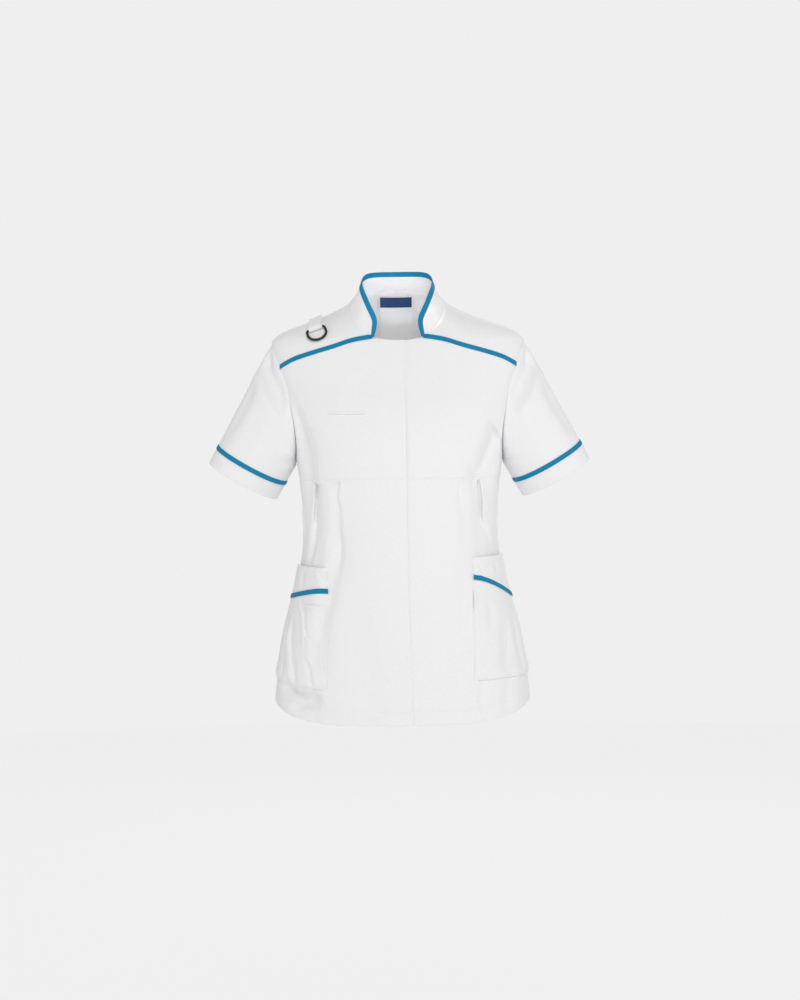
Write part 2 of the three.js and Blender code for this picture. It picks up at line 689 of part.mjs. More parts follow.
function collarParts() {
  const columns = withBindingWay(collarColumns(17));
  const neckMiddle = new THREE.Vector3(0, -10, 10);
  const halfTape = TAPE_WIDTH / 2;
  const places = steps(3).map((share) => columns.slice(1, -1).map(({ low, high, across }) => {
    const way = high.clone().sub(low);
    const length = way.length();
    way.normalize();
    const from = Math.min(COLLAR_SEAM_RISE, length / 4);
    const to = length - (halfTape + 2 * SEAM_GAP) / way.dot(across);
    return low.clone().addScaledVector(way, lerp(from, Math.max(to, from + 1), share));
  }));
  const collar = withNormals(places, false, () => neckMiddle);
  const bandRows = [-halfTape, halfTape].map((offset) => (
    columns.map(({ high, across }) => high.clone().addScaledVector(across, offset))
  ));
  const binding = withNormals(bandRows, false, () => neckMiddle);
  return [
    wall('collar', collar, { lift: -CLOTH / 2, thick: CLOTH }),
    wall('collar_binding', binding, {
      lift: -BINDING_THICK / 2, thick: BINDING_THICK, colour: COLOUR.piping,
    }),
  ];
}

// ---------------------------------------------------------------------------------------------
// What lies on the panels
// ---------------------------------------------------------------------------------------------
function yokePiping(side) {
  const grid = [-0.5, 0.5].map((off) => steps(13).map((share) => {
    const x = lerp(COLLAR_START + 1, YOKE_END_X - 1.5, share);
    const z = yokeSeamAt(x) + off * TAPE_WIDTH;
    return clothNode('front', signOf(side) * angleOf(x, z), z);
  }));
  return wall(`yoke_piping_${side}`, grid, { lift: LIFT, thick: TAPE_THICK, colour: COLOUR.piping });
}

// Patch on a front skirt. Its columns run from a distance from the centre line to the pocket's
// side edge, and each row's height is given at both edges.
function skirtPatch(side, rows, columns, heights, lift = 0) {
  const { inner } = HIP_POCKET[side];
  return rows.map((share) => steps(columns).map((across) => {
    const z = heights(share, across);
    const angle = lerp(angleOf(inner, z), rad(POCKET_SIDE_ANGLE), across);
    const gape = typeof lift === 'function' ? lift(share, across) : lift;
    return frontNode(side, angle, z, gape);
  }));
}

function hipPocket(side) {
  const { top, tape, bottom } = HIP_POCKET[side];
  const slope = ([near, far], across) => lerp(near, far, ease(across * 0.85 + 0.08));
  const between = (from, to) => (share, across) => lerp(slope(from, across), slope(to, across), share);
  const gape = (share) => POCKET_GAPE * (1 - ease(share));
  const band = skirtPatch(side, steps(3), 8, between(top, tape), gape);
  const bag = skirtPatch(side, steps(6), 8, between(tape, bottom));
  const tapeHeights = (share, across) => slope(tape, across) + TAPE_WIDTH * (0.5 - share);
  const piping = skirtPatch(side, [0, 1], 8, tapeHeights);
  return [
    wall(`hip_pocket_band_${side}`, pullBack(band), { lift: POCKET_LIFT, thick: DOUBLE_CLOTH }),
    wall(`hip_pocket_${side}`, pullBack(bag), { lift: POCKET_LIFT, thick: CLOTH }),
    wall(`hip_pocket_piping_${side}`, piping, {
      lift: POCKET_LIFT + DOUBLE_CLOTH + LIFT, thick: TAPE_THICK, colour: COLOUR.piping,
    }),
  ];
}

function flatPatch(name, { near, far, top, bottom }, rows, columns, options) {
  const grid = steps(rows).map((share) => steps(columns).map((across) => {
    const z = lerp(top, bottom, share);
    return frontNode('right', angleOf(lerp(near, far, across), z), z);
  }));
  return wall(name, grid, options);
}

// Neck label: two pieces that hang inside the back, from the collar seam down.
function neckLabel() {
  const { halfWidth, top, split, bottom, centre } = NECK_LABEL;
  const piece = (name, high, low, rows, colour) => {
    const grid = steps(rows).map((share) => steps(6).map((across) => {
      const z = lerp(high, low, share);
      return clothNode('back', angleOf(centre + lerp(-halfWidth, halfWidth, across), z), z);
    }));
    return wall(name, grid, { lift: -CLOTH - LABEL_LIFT - LABEL_THICK, thick: LABEL_THICK, colour });
  };
  return [
    piece('neck_label_header', top, split + SEAM_GAP, 2, COLOUR.navy),
    piece('neck_label', split, bottom, 4, COLOUR.label),
  ];
}

// ---------------------------------------------------------------------------------------------
// D-ring and the cloth tab that carries its bar
// ---------------------------------------------------------------------------------------------
// Local frame at the bar: X along the bar, Y down the yoke, Z away from it.
function ringFrame() {
  const { x, z } = D_RING.at;
  const base = bodyPoint('front', angleOf(x, z), z);
  const normal = bodyNormal('front', base);
  const bar = new THREE.Vector3(-1, 0, -D_RING.barRise);
  bar.addScaledVector(normal, -bar.dot(normal)).normalize();
  const down = normal.clone().cross(bar).normalize();
  const middle = base.clone().addScaledVector(normal, barHeight());
  return { base, normal, bar, down, middle };
}

// Height of the bar's axis over the yoke, with the tab's lower layer between them.
function barHeight() {
  return D_RING.wire + SEAM_GAP + RING_TAB.thick + LIFT;
}

// Middle line of the ring: the straight bar, two rounded corners, two arms and a half-round bow.
function ringPath() {
  const half = D_RING.width / 2 - D_RING.wire;
  const path = new THREE.Path();
  path.moveTo(-half + D_RING.corner, 0);
  path.lineTo(half - D_RING.corner, 0);
  path.absarc(half - D_RING.corner, D_RING.corner, D_RING.corner, -Math.PI / 2, 0, false);
  path.lineTo(half, D_RING.reach - half);
  path.absarc(0, D_RING.reach - half, half, 0, Math.PI, false);
  path.lineTo(-half, D_RING.corner);
  path.absarc(-half + D_RING.corner, D_RING.corner, D_RING.corner, Math.PI, 1.5 * Math.PI, false);
  return path;
}

function dRing() {
  const count = 40;
  const sides = 8;
  const path = ringPath();
  const points = [];
  for (let i = 0; i < count; i += 1) {
    const at = path.getPointAt(i / count);
    const tangent = path.getTangentAt(i / count);
    for (let k = 0; k < sides; k += 1) {
      const turn = (2 * Math.PI * (k + 0.5)) / sides;
      const across = D_RING.wire * Math.cos(turn);
      points.push(new THREE.Vector3(
        at.x + tangent.y * across,
        at.y - tangent.x * across,
        D_RING.wire * Math.sin(turn),
      ));
    }
  }
  const faces = [];
  for (let i = 0; i < count; i += 1) {
    for (let k = 0; k < sides; k += 1) {
      const a = i * sides + k;
      const b = i * sides + ((k + 1) % sides);
      const c = ((i + 1) % count) * sides + ((k + 1) % sides);
      const d = ((i + 1) % count) * sides + k;
      faces.push([a, b, c], [a, c, d]);
    }
  }
  return meshOf('d_ring', points, faces, COLOUR.plastic, 0.35);
}

// Tab: a strip that lies on the yoke from the shoulder line, then goes once round the bar and
// ends beneath itself.
function ringTab() {
  const { normal, bar, down, middle, base } = ringFrame();
  const radius = D_RING.wire + SEAM_GAP + RING_TAB.thick / 2;
  const startLift = LIFT + RING_TAB.thick / 2;
  const barLift = barHeight() + radius;
  const columns = steps(4).map((share) => (0.5 - share) * RING_TAB.width);
  const upper = steps(5).slice(0, -1).map((share) => columns.map((offset) => {
    const foot = base.clone().addScaledVector(bar, offset);
    const crest = shoulderHeight(Math.abs(foot.x)) - 0.3;
    const z = lerp(crest, foot.z, share * share);
    const lift = lerp(startLift, barLift, ease(share));
    return clothNode('front', angleOf(foot.x, z), z, lift);
  }));
  const around = (turn, back = 0) => columns.map((offset) => {
    const outward = down.clone().multiplyScalar(Math.cos(turn)).addScaledVector(normal, Math.sin(turn));
    const place = middle.clone().addScaledVector(bar, offset).addScaledVector(outward, radius);
    return { place: place.addScaledVector(down, -back), normal: outward };
  });
  const loop = steps(6).map((share) => around(rad(lerp(90, -90, share))));
  const grid = [...upper, ...loop, around(rad(-90), RING_TAB.under)];
  return wall('d_ring_tab', grid, { lift: -RING_TAB.thick / 2, thick: RING_TAB.thick });
}

function placedRing() {
  const { normal, bar, down, middle } = ringFrame();
  const ring = dRing();
  const frame = new THREE.Matrix4().makeBasis(bar, down, normal).setPosition(middle);
  ring.applyMatrix4(frame.multiply(new THREE.Matrix4().makeRotationX(rad(D_RING.lean))));
  return ring;
}

// ---------------------------------------------------------------------------------------------
// The tunic
// ---------------------------------------------------------------------------------------------
const tunic = new THREE.Group();
for (const side of ['right', 'left']) {
  tunic.add(frontSkirt(side), bodiceFront(side), yoke(side), yokePiping(side));
  tunic.add(...sleeveParts(side), ...hipPocket(side));
}
tunic.add(backPanel(), ...collarParts(), ...neckLabel(), placedRing(), ringTab());
tunic.add(flatPatch('pen_pocket', PEN_POCKET, 5, 4, { lift: POCKET_LIFT + CLOTH + LIFT, thick: CLOTH }));
tunic.add(flatPatch('chest_pocket_welt', CHEST_WELT, 1, 5, { lift: LIFT, thick: CLOTH }));

export default tunic;
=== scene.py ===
"""Maternity tunic: a short-sleeved work tunic dressed from its solid model, as a Blender add-on.

Metres, +Z up, -Y the front, +X the wearer's left. The origin is midway between the two
shoulder-neck points. Every cloth piece is a thin shell on the outer skin of its solid: the skin is
read as an ordered grid, made finer with splines, creased along listed paths, and given its thickness.
"""

import math
from collections import namedtuple
from itertools import product

import bmesh
import bpy
import numpy as np
from bpy.props import FloatProperty, FloatVectorProperty, PointerProperty
from mathutils import Matrix, Vector


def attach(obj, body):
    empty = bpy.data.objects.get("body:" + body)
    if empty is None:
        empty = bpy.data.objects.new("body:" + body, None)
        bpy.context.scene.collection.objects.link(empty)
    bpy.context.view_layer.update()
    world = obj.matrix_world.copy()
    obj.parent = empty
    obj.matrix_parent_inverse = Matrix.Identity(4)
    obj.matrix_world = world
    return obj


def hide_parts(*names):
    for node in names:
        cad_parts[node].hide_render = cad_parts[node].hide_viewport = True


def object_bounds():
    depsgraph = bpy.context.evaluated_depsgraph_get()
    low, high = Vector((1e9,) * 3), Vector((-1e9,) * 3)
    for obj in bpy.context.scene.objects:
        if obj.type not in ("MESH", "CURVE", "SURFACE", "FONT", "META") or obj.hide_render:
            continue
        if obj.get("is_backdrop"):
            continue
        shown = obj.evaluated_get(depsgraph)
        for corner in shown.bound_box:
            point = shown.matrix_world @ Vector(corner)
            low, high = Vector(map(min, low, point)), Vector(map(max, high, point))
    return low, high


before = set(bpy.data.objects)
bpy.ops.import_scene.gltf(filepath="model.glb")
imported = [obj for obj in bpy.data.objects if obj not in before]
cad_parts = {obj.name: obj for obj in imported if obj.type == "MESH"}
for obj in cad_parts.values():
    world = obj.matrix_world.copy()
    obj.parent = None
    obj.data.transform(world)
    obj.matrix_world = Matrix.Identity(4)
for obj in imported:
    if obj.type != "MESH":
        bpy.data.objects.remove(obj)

CAD_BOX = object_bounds()
MM = 0.001
SIDES = ("right", "left")

bl_info = {
    "name": "Maternity tunic",
    "version": (1, 0, 0),
    "blender": (4, 5, 0),
    "location": "View3D > Sidebar > Tunic",
    "description": "Builds the cloth, sewing, trim and studio of a short-sleeved maternity work tunic",
    "category": "Object",
}


def linear(code):
    """Linear RGBA of an sRGB hex colour."""
    levels = [int(code[i : i + 2], 16) / 255 for i in (1, 3, 5)]
    return [c / 12.92 if c <= 0.04045 else ((c + 0.055) / 1.055) ** 2.4 for c in levels] + [1.0]


# ----------------------------------------------------------------------------------------------
# Sizes and colours a user would change
# ----------------------------------------------------------------------------------------------
def length_property(name, millimetres, description):
    """A length of the tunic, given in millimetres."""
    return FloatProperty(name=name, description=description, default=millimetres * MM, unit="LENGTH")


def colour_property(name, code, description):
    """A colour of the tunic, given as an sRGB hex value."""
    return FloatVectorProperty(
        name=name, description=description, default=linear(code), size=4, subtype="COLOR", min=0, max=1
    )


class TunicSizes(bpy.types.PropertyGroup):
    """Sizes of the cloth and of the sewing."""

    cloth: length_property("Cloth", 0.8, "Thickness of one layer of cloth")
    grid: length_property("Grid", 3.2, "Spacing of the points of a panel")
    hem_step: length_property("Hem step", 0.4, "How much a turned hem stands out from the single cloth")
    hem_depth: length_property("Hem depth", 24, "Depth of the turned hem at the bottom of the tunic")
    tape: length_property("Tape", 0.9, "Thickness of the contrast tape")
    stitch: length_property("Stitch", 2.9, "Length from one stitch to the next")
    thread: length_property("Thread", 0.45, "Thickness of the sewing thread")
    twill_pitch: length_property("Twill pitch", 2.7, "Distance between the drawn diagonal ribs of the cloth")


class TunicColours(bpy.types.PropertyGroup):
    """Colours of the cloth, the trim and the studio."""

    cloth: colour_property("Cloth", "#f6f5f6", "White cloth of the tunic")
    tape: colour_property("Tape", "#0387b1", "Contrast tape of the piping and the binding")
    ring: colour_property("Ring", "#121316", "Moulded ring on the shoulder")
    header: colour_property("Label header", "#1f3a66", "Dark header of the neck label")
    label: colour_property("Label", "#fcfcfc", "Size panel of the neck label")
    studio: colour_property("Studio", "#efefef", "Floor and backdrop of the studio")


def sizes():
    """Sizes as they stand in the panel."""
    return bpy.context.scene.tunic_sizes


def colours():
    """Colours as they stand in the panel."""
    return bpy.context.scene.tunic_colours


# ----------------------------------------------------------------------------------------------
# Numbers: easing and splines
# ----------------------------------------------------------------------------------------------
BAND_STEP = 0.7 * MM  # spacing of the points where a panel folds sharply
LEAST_STEP = 0.25 * MM  # points closer than this are left out
BORDER_STEPS = (0, 0.4, 1.1, 2.2)  # distances in from a border, in millimetres, of its close points


def ease(t):
    """Smooth step from 0 to 1."""
    t = np.clip(t, 0, 1)
    return t * t * (3 - 2 * t)


def spline_weights(knots, samples):
    """Weights that carry values at the knots to a natural cubic spline through them."""
    count = len(knots)
    gaps = np.diff(knots)
    system = np.eye(count)
    bends = np.zeros((count, count))
    for i in range(1, count - 1):
        before, after = gaps[i - 1], gaps[i]
        system[i, i - 1 : i + 2] = before, 2 * (before + after), after
        bends[i, i - 1 : i + 2] = 6 / before, -6 / before - 6 / after, 6 / after
    second = np.linalg.solve(system, bends)
    unit = np.eye(count)
    span = np.clip(np.searchsorted(knots, samples) - 1, 0, count - 2)
    gap = gaps[span][:, None]
    low = (knots[span + 1] - samples)[:, None] / gap
    high = 1 - low
    curve = ((low**3 - low) * second[span] + (high**3 - high) * second[span + 1]) * gap**2 / 6
    return low * unit[span] + high * unit[span + 1] + curve


def border_steps(length, spacing, bands=()):
    """Positions along a length: even ones, and closer ones at both borders and in given bands."""
    borders = [d * MM for d in BORDER_STEPS] + [length - d * MM for d in BORDER_STEPS]
    even = np.linspace(0, length, max(2, round(length / spacing)) + 1)
    close = [place for start, end in bands for place in np.arange(start, end, BAND_STEP)]
    places = np.array(sorted([p for p in (*borders, *even, *close) if 0 <= p <= length]))
    wide = np.concatenate([[True], np.diff(places) > LEAST_STEP])
    kept = places[wide]
    kept[-1] = length
    return kept


# ----------------------------------------------------------------------------------------------
# Cloth: the outer skin of a solid as a fine, ordered grid
# ----------------------------------------------------------------------------------------------
RIM_ANGLES = [math.radians(a) for a in (75, 65, 55, 45, 35)]  # a wall's rim bends by more than this
MERGED = 0.005 * MM  # corners of a solid closer than this are one
LINE_STEP = 1.5 * MM  # spacing of the points of a line along an edge


def skin_seed(skin, own_middle):
    """The triangle that faces most directly outwards, of the larger ones of a wall."""
    points = [v.co for v in skin.verts]
    middle = sum(points, Vector()) / len(points)

    def facing(face):
        """How squarely a triangle faces away from the body or from its own wall's middle."""
        centre = face.calc_center_median()
        way = centre - middle if own_middle else Vector((centre.x, centre.y, 0))
        return face.normal.dot(way.normalized())

    large = 0.3 * max(f.calc_area() for f in skin.faces)
    return max((f for f in skin.faces if f.calc_area() > large), key=facing)


def skin_places(seed, corner, rim_angle):
    """Row and column of each vertex of the skin round a seed, and the wrap of a ring.

    The wall's triangles lie on a regular grid, so each one places the far corner of the next.
    """
    place = {
        corner.vert: (0, 0),
        corner.link_loop_next.vert: (1, 0),
        corner.link_loop_prev.vert: (0, 1),
    }
    wrap = (0, 0)
    seen = {seed}
    waiting = [seed]
    for face in waiting:
        for edge in face.edges:
            for other in edge.link_faces:
                if other in seen or edge.calc_face_angle(math.pi) > rim_angle:
                    continue
                seen.add(other)
                waiting.append(other)
                near, far = edge.verts
                back = next(v for v in face.verts if v not in edge.verts)
                ahead = next(v for v in other.verts if v not in edge.verts)
                spot = tuple(place[near][k] + place[far][k] - place[back][k] for k in (0, 1))
                if place.setdefault(ahead, spot) != spot:
                    wrap = tuple(abs(place[ahead][k] - spot[k]) for k in (0, 1))
    return place, wrap


def whole_grids(skin, own_middle):
    """Each reading of a wall's outer skin as a whole grid of vertices: (grid of places and normals, wrap)."""
    seed = skin_seed(skin, own_middle)
    for rim_angle, corner in product(RIM_ANGLES, seed.loops):
        place, wrap = skin_places(seed, corner, rim_angle)
        spots = np.array(list(place.values()))
        spots -= spots.min(axis=0)
        for axis in (0, 1):
            if wrap[axis]:
                spots[:, axis] %= wrap[axis]
        rows, columns = spots.max(axis=0) + 1
        if rows * columns == len(place) == len(skin.verts) / 2:
            grid = np.zeros((rows, columns, 6))
            grid[spots[:, 0], spots[:, 1]] = [(*v.co, *v.normal) for v in place]
            yield grid, wrap


def steps_along(grid, axis):
    """Steps from each place of a grid to the next one along an axis."""
    return np.diff(grid[..., :3], axis=axis)


def read_grid(node, own_middle=False):
    """Outer skin of a node's wall as points by row and column, and whether it is a ring.

    Rows go up, and columns go to the right seen from outside. Of several readings, such as those
    of a ring whose columns slant, the one with the shortest steps is right.
    """
    skin = bmesh.new()
    skin.from_mesh(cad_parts[node].data)
    bmesh.ops.remove_doubles(skin, verts=skin.verts, dist=MERGED)
    skin.normal_update()

    def reach(reading):
        """Length of all the steps of a reading."""
        return sum(np.linalg.norm(steps_along(reading[0], axis), axis=2).sum() for axis in (0, 1))

    readings = list(whole_grids(skin, own_middle))
    if not readings:
        raise RuntimeError(f"{node}: its outer skin isn't a whole grid")
    grid, wrap = min(readings, key=reach)
    skin.free()

    def climb(axis):
        """How steeply a grid climbs along an axis, from 0 for level to 1 for upright."""
        step = steps_along(grid, axis)
        return abs((step[..., 2] / np.linalg.norm(step, axis=2)).mean())

    if wrap[0] or (not wrap[1] and climb(1) > climb(0)):
        grid = grid.transpose(1, 0, 2)
    if grid[-1, :, 2].mean() < grid[0, :, 2].mean():
        grid = grid[::-1]
    points, normals = grid[..., :3], grid[..., 3:]
    turned = np.cross(np.gradient(points, axis=1), np.gradient(points, axis=0))
    if (turned * normals).sum() < 0:
        points = points[:, ::-1]
    return points, any(wrap)


def mean_distances(points, axis):
    """Distance of every row or column from the first, averaged over the sheet."""
    steps = np.linalg.norm(np.diff(points, axis=axis), axis=2).mean(axis=1 - axis)
    return np.concatenate([[0], np.cumsum(steps)])


class Cloth:
    """A sheet of cloth: points by row and column, and their distances u across and v up."""

    def __init__(self, node, own_middle=False, spacing=None, bands=(), without=()):
        """bands are stretches of the width with closer points; without lists columns left out."""
        spacing = spacing or sizes().grid
        coarse, self.ring = read_grid(node, own_middle)
        coarse = np.delete(coarse, list(without), axis=1)
        self.node = node
        knots_v = mean_distances(coarse, 0)
        self.v = border_steps(knots_v[-1], spacing)
        if self.ring:
            count = coarse.shape[1]
            coarse = np.concatenate([coarse[:, -3:], coarse, coarse[:, :4]], axis=1)
            knots_u = mean_distances(coarse, 1)
            start, self.round = knots_u[3], knots_u[3 + count] - knots_u[3]
            self.u = np.arange(0, self.round - spacing / 2, spacing)
            weights_u = spline_weights(knots_u, self.u + start)
        else:
            knots_u = mean_distances(coarse, 1)
            self.round = knots_u[-1]
            self.u = border_steps(knots_u[-1], spacing, bands)
            weights_u = spline_weights(knots_u, self.u)
        weights_v = spline_weights(knots_v, self.v)
        self.points = np.einsum("ri,ijk,cj->rck", weights_v, coarse, weights_u)

    def normals(self):
        """Outward direction at every point."""
        if self.ring:
            across = np.roll(self.points, -1, axis=1) - np.roll(self.points, 1, axis=1)
        else:
            across = np.gradient(self.points, axis=1)
        normals = np.cross(across, np.gradient(self.points, axis=0))
        return normals / np.linalg.norm(normals, axis=2, keepdims=True)

    def lift(self, height, slide=0.0):
        """Moves every point out of the sheet by its height, and along it to the right by its slide."""
        shape = self.points.shape[:2]
        across = np.gradient(self.points, axis=1)
        across = across / np.linalg.norm(across, axis=2, keepdims=True)
        out = self.normals() * np.broadcast_to(height, shape)[..., None]
        self.points = self.points + out + across * np.broadcast_to(slide, shape)[..., None]

    def stretch(self, edge, distance):
        """Carries one edge of the sheet on outwards by a distance, to close a seam."""
        ends = {"bottom": (0, 1), "top": (-1, -2), "left": (0, 1), "right": (-1, -2)}
        rim, inside = ends[edge]
        lines = self.points if edge in ("bottom", "top") else self.points.transpose(1, 0, 2)
        way = lines[rim] - lines[inside]
        way = way / np.linalg.norm(way, axis=1, keepdims=True)
        lines[rim] += way * np.broadcast_to(distance, len(way))[:, None]

    def from_edge(self, edge):
        """Distance of every point from one edge of the sheet."""
        u, v = np.meshgrid(self.u, self.v)
        far = {"left": u, "right": self.round - u, "bottom": v, "top": self.v[-1] - v}
        return far[edge]

    def body_chart(self):
        """Every point's place round the body: arc from the centre line at a fixed radius, height."""
        x, y, z = np.moveaxis(self.points, 2, 0)
        return np.stack([BODY_RADIUS * np.arctan2(x, np.abs(y)), z], axis=2)

    def line(self, u, v):
        """Points and outward directions along a line given in u and v."""
        grid = np.concatenate([self.points, self.normals()], axis=2)
        u, v = (np.atleast_1d(np.asarray(a, float)) for a in (u, v))
        if self.ring:
            grid = np.concatenate([grid, grid[:, :1]], axis=1)
        knots = np.append(self.u, self.round) if self.ring else self.u
        column, across = bracket(knots, u)
        row, up = bracket(self.v, v)
        across, up = across[:, None], up[:, None]
        low = grid[row, column] * (1 - across) + grid[row, column + 1] * across
        high = grid[row + 1, column] * (1 - across) + grid[row + 1, column + 1] * across
        found = low * (1 - up) + high * up
        return found[:, :3], found[:, 3:]

    def along(self, edge, inset, ends=0.0):
        """A line beside one edge, that far in, stopping short of both its ends."""
        length = self.round if edge in ("bottom", "top") else self.v[-1]
        run = np.arange(ends, length - ends, LINE_STEP)
        place = np.full_like(run, inset if edge in ("left", "bottom") else 0)
        if edge == "right":
            place += self.round - inset
        if edge == "top":
            place += self.v[-1] - inset
        return self.line(run, place) if edge in ("bottom", "top") else self.line(place, run)

    def area(self):
        """Area of the sheet."""
        wide = np.linalg.norm(np.diff(self.points, axis=1), axis=2)
        tall = np.linalg.norm(np.diff(self.points, axis=0), axis=2)
        area = ((wide[1:] + wide[:-1]) / 2 * (tall[:, 1:] + tall[:, :-1]) / 2).sum()
        return area * (1 + 1 / (self.points.shape[1] - 1)) if self.ring else area


def bracket(knots, values):
    """Index of the knot before each value, and the share of the way to the next one."""
    values = np.clip(values, knots[0], knots[-1])
    index = np.clip(np.searchsorted(knots, values, side="right") - 1, 0, len(knots) - 2)
    return index, (values - knots[index]) / (knots[index + 1] - knots[index])


def border_loops(rows, columns, ring):
    """Borders of a grid as runs of (row, column), each with the cloth on its left."""
    bottom = [(0, j) for j in range(columns)]
    top = [(rows - 1, j) for j in reversed(range(columns))]
    if ring:
        return [bottom, top]
    right = [(i, columns - 1) for i in range(1, rows - 1)]
    left = [(i, 0) for i in reversed(range(1, rows - 1))]
    return [bottom + right + top + left]


def shell(name, cloth, thickness, finish, body="garment", rounding=0.3):
    """Mesh object of a cloth: its outer side, its inner side and a rounded rim between them."""
    rows, columns = cloth.points.shape[:2]
    normals = cloth.normals()
    depth = np.broadcast_to(thickness, (rows, columns))[..., None]
    inner = cloth.points - normals * depth
    points = [*cloth.points.reshape(-1, 3), *inner.reshape(-1, 3)]
    places = [(u, v) for v in cloth.v for u in cloth.u] * 2
    spans = columns if cloth.ring else columns - 1
    behind = rows * columns
    faces = []
    for i in range(rows - 1):
        for j in range(spans):
            k = (j + 1) % columns
            quad = (i * columns + j, i * columns + k, (i + 1) * columns + k, (i + 1) * columns + j)
            faces.append(quad)
            faces.append(tuple(behind + c for c in reversed(quad)))
    for loop in border_loops(rows, columns, cloth.ring):
        first = len(points)
        for i, j in loop:
            inside = cloth.points[min(max(i, 1), rows - 2), j if cloth.ring else min(max(j, 1), columns - 2)]
            way = cloth.points[i, j] - inside
            way = way / np.linalg.norm(way)
            middle = (cloth.points[i, j] + inner[i, j]) / 2
            points.append(middle + way * rounding * depth[i, j])
            places.append((cloth.u[j], cloth.v[i]))
        for k, (i, j) in enumerate(loop):
            nxt = (k + 1) % len(loop)
            here, there = i * columns + j, loop[nxt][0] * columns + loop[nxt][1]
            faces.append((here, first + k, first + nxt, there))
            faces.append((first + k, behind + here, behind + there, first + nxt))
    mesh = bpy.data.meshes.new(name)
    mesh.from_pydata(np.array(points).tolist(), [], faces)
    mesh.shade_smooth()
    lay_flat(mesh, np.array(places), cloth.round if cloth.ring else None)
    return finished(name, mesh, finish, body)


def lay_flat(mesh, places, wrap=None):
    """UV map in metres of real cloth; a ring's last column runs on past its start."""
    corners = np.zeros(len(mesh.loops), dtype=int)
    mesh.loops.foreach_get("vertex_index", corners)
    flat = places[corners]
    if wrap:
        starts = np.zeros(len(mesh.polygons), dtype=int)
        mesh.polygons.foreach_get("loop_start", starts)
        quads = flat.reshape(-1, 4, 2)
        crossing = np.ptp(quads[..., 0], axis=1) > wrap / 2
        quads[crossing, :, 0] += np.where(quads[crossing, :, 0] < wrap / 2, wrap, 0)
        flat = quads.reshape(-1, 2)
    layer = mesh.uv_layers.new(name="cloth")
    layer.data.foreach_set("uv", flat.astype(np.float32).ravel())


def finished(name, mesh, finish, body="garment"):
    """Scene object of a mesh, with its material, riding on its body."""
    piece = bpy.data.objects.new(name, mesh)
    bpy.context.scene.collection.objects.link(piece)
    mesh.materials.append(finish)
    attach(piece, body)
    return piece


# ----------------------------------------------------------------------------------------------
# Creases, seams and hems: how far the cloth lies out of its smooth sheet
# ----------------------------------------------------------------------------------------------
BODY_RADIUS = 0.17  # radius at which angles round the body are measured off as lengths

# A soft trough (depth below 0) or ridge along a path. shoulder is the height of the roll beside
# it, as a share of the depth, on the right (above 0) or left of the path; fades are the shares
# of the path over which it begins and ends. Widths and depths are in millimetres.
Crease = namedtuple("Crease", "path width depth shoulder fades", defaults=(0.3, (0.25, 0.35)))


def measured(chart, path):
    """Signed distance of each place from a path, and how far along it the nearest place lies."""
    lengths = [math.dist(a, b) for a, b in zip(path, path[1:])]
    total = sum(lengths)
    best = np.full(chart.shape[:2], np.inf)
    signed = np.zeros_like(best)
    along = np.zeros_like(best)
    done = 0
    for start, end, length in zip(path, path[1:], lengths):
        start, end = np.array(start), np.array(end)
        way = (end - start) / length
        offset = chart - start
        run = np.clip(offset @ way, 0, length)
        side = offset[..., 0] * way[1] - offset[..., 1] * way[0]
        apart = np.linalg.norm(offset - run[..., None] * way, axis=2)
        nearer = apart < best
        best = np.where(nearer, apart, best)
        signed = np.where(nearer, np.sign(side) * apart, signed)
        along = np.where(nearer, (done + run) / total, along)
        done += length
    return signed, along


def creased(chart, creases, scale=MM):
    """Height of all the creases at each place; a path's places are in the chart's millimetres."""
    height = np.zeros(chart.shape[:2])
    for crease in creases:
        path = [(a * scale, b * MM) for a, b in crease.path]
        distance, along = measured(chart, path)
        across = distance / (crease.width * MM)
        roll = np.exp(-((across - 1.6 * np.sign(crease.shoulder)) ** 2)) * abs(crease.shoulder)
        begin, finish = (max(f, 1e-3) for f in crease.fades)
        strength = ease(along / begin) * ease((1 - along) / finish)
        height += crease.depth * MM * strength * (np.exp(-(across**2)) - roll)
    return height


# A fold edge along a path, past which the cloth falls back by depth on one side (1 the right) and
# comes forward again at reach.
FALL_SHARE = 0.35  # share of the reach over which it falls back
Fall = namedtuple("Fall", "path side depth reach fades", defaults=((0.2, 0.2),))


def fallen(chart, falls, scale=MM):
    """Height of all the falls at each place."""
    height = np.zeros(chart.shape[:2])
    for fall in falls:
        distance, along = measured(chart, [(a * scale, b * MM) for a, b in fall.path])
        share = np.maximum(distance * fall.side, 0) / (fall.reach * MM)
        begin, finish = (max(f, 1e-3) for f in fall.fades)
        strength = ease(along / begin) * ease((1 - along) / finish)
        back = ease((share - FALL_SHARE) / (1 - FALL_SHARE))
        height -= fall.depth * MM * strength * np.minimum(share / FALL_SHARE, 1) * (1 - back)
    return height


# A pleat: the cloth folds under itself along a lip and comes back as a floor. The lip's places are
# in degrees round the body and millimetres of height. The floor lies towards the wearer's left (1)
# or right (-1) of the lip, under it by lap, deepest there by depth, and rises over flank; slit is the
# further depth of the gap right beside the lip. lap_ends and depth_ends are the heights between
# which they die away.
Pleat = namedtuple("Pleat", "lip floor lap slit depth flank lap_ends depth_ends")
LIP_TURN = 2.4  # half the width over which the cloth turns under at a lip
LIP_MOUTH = 8.0  # height over which a pleat opens below its seam


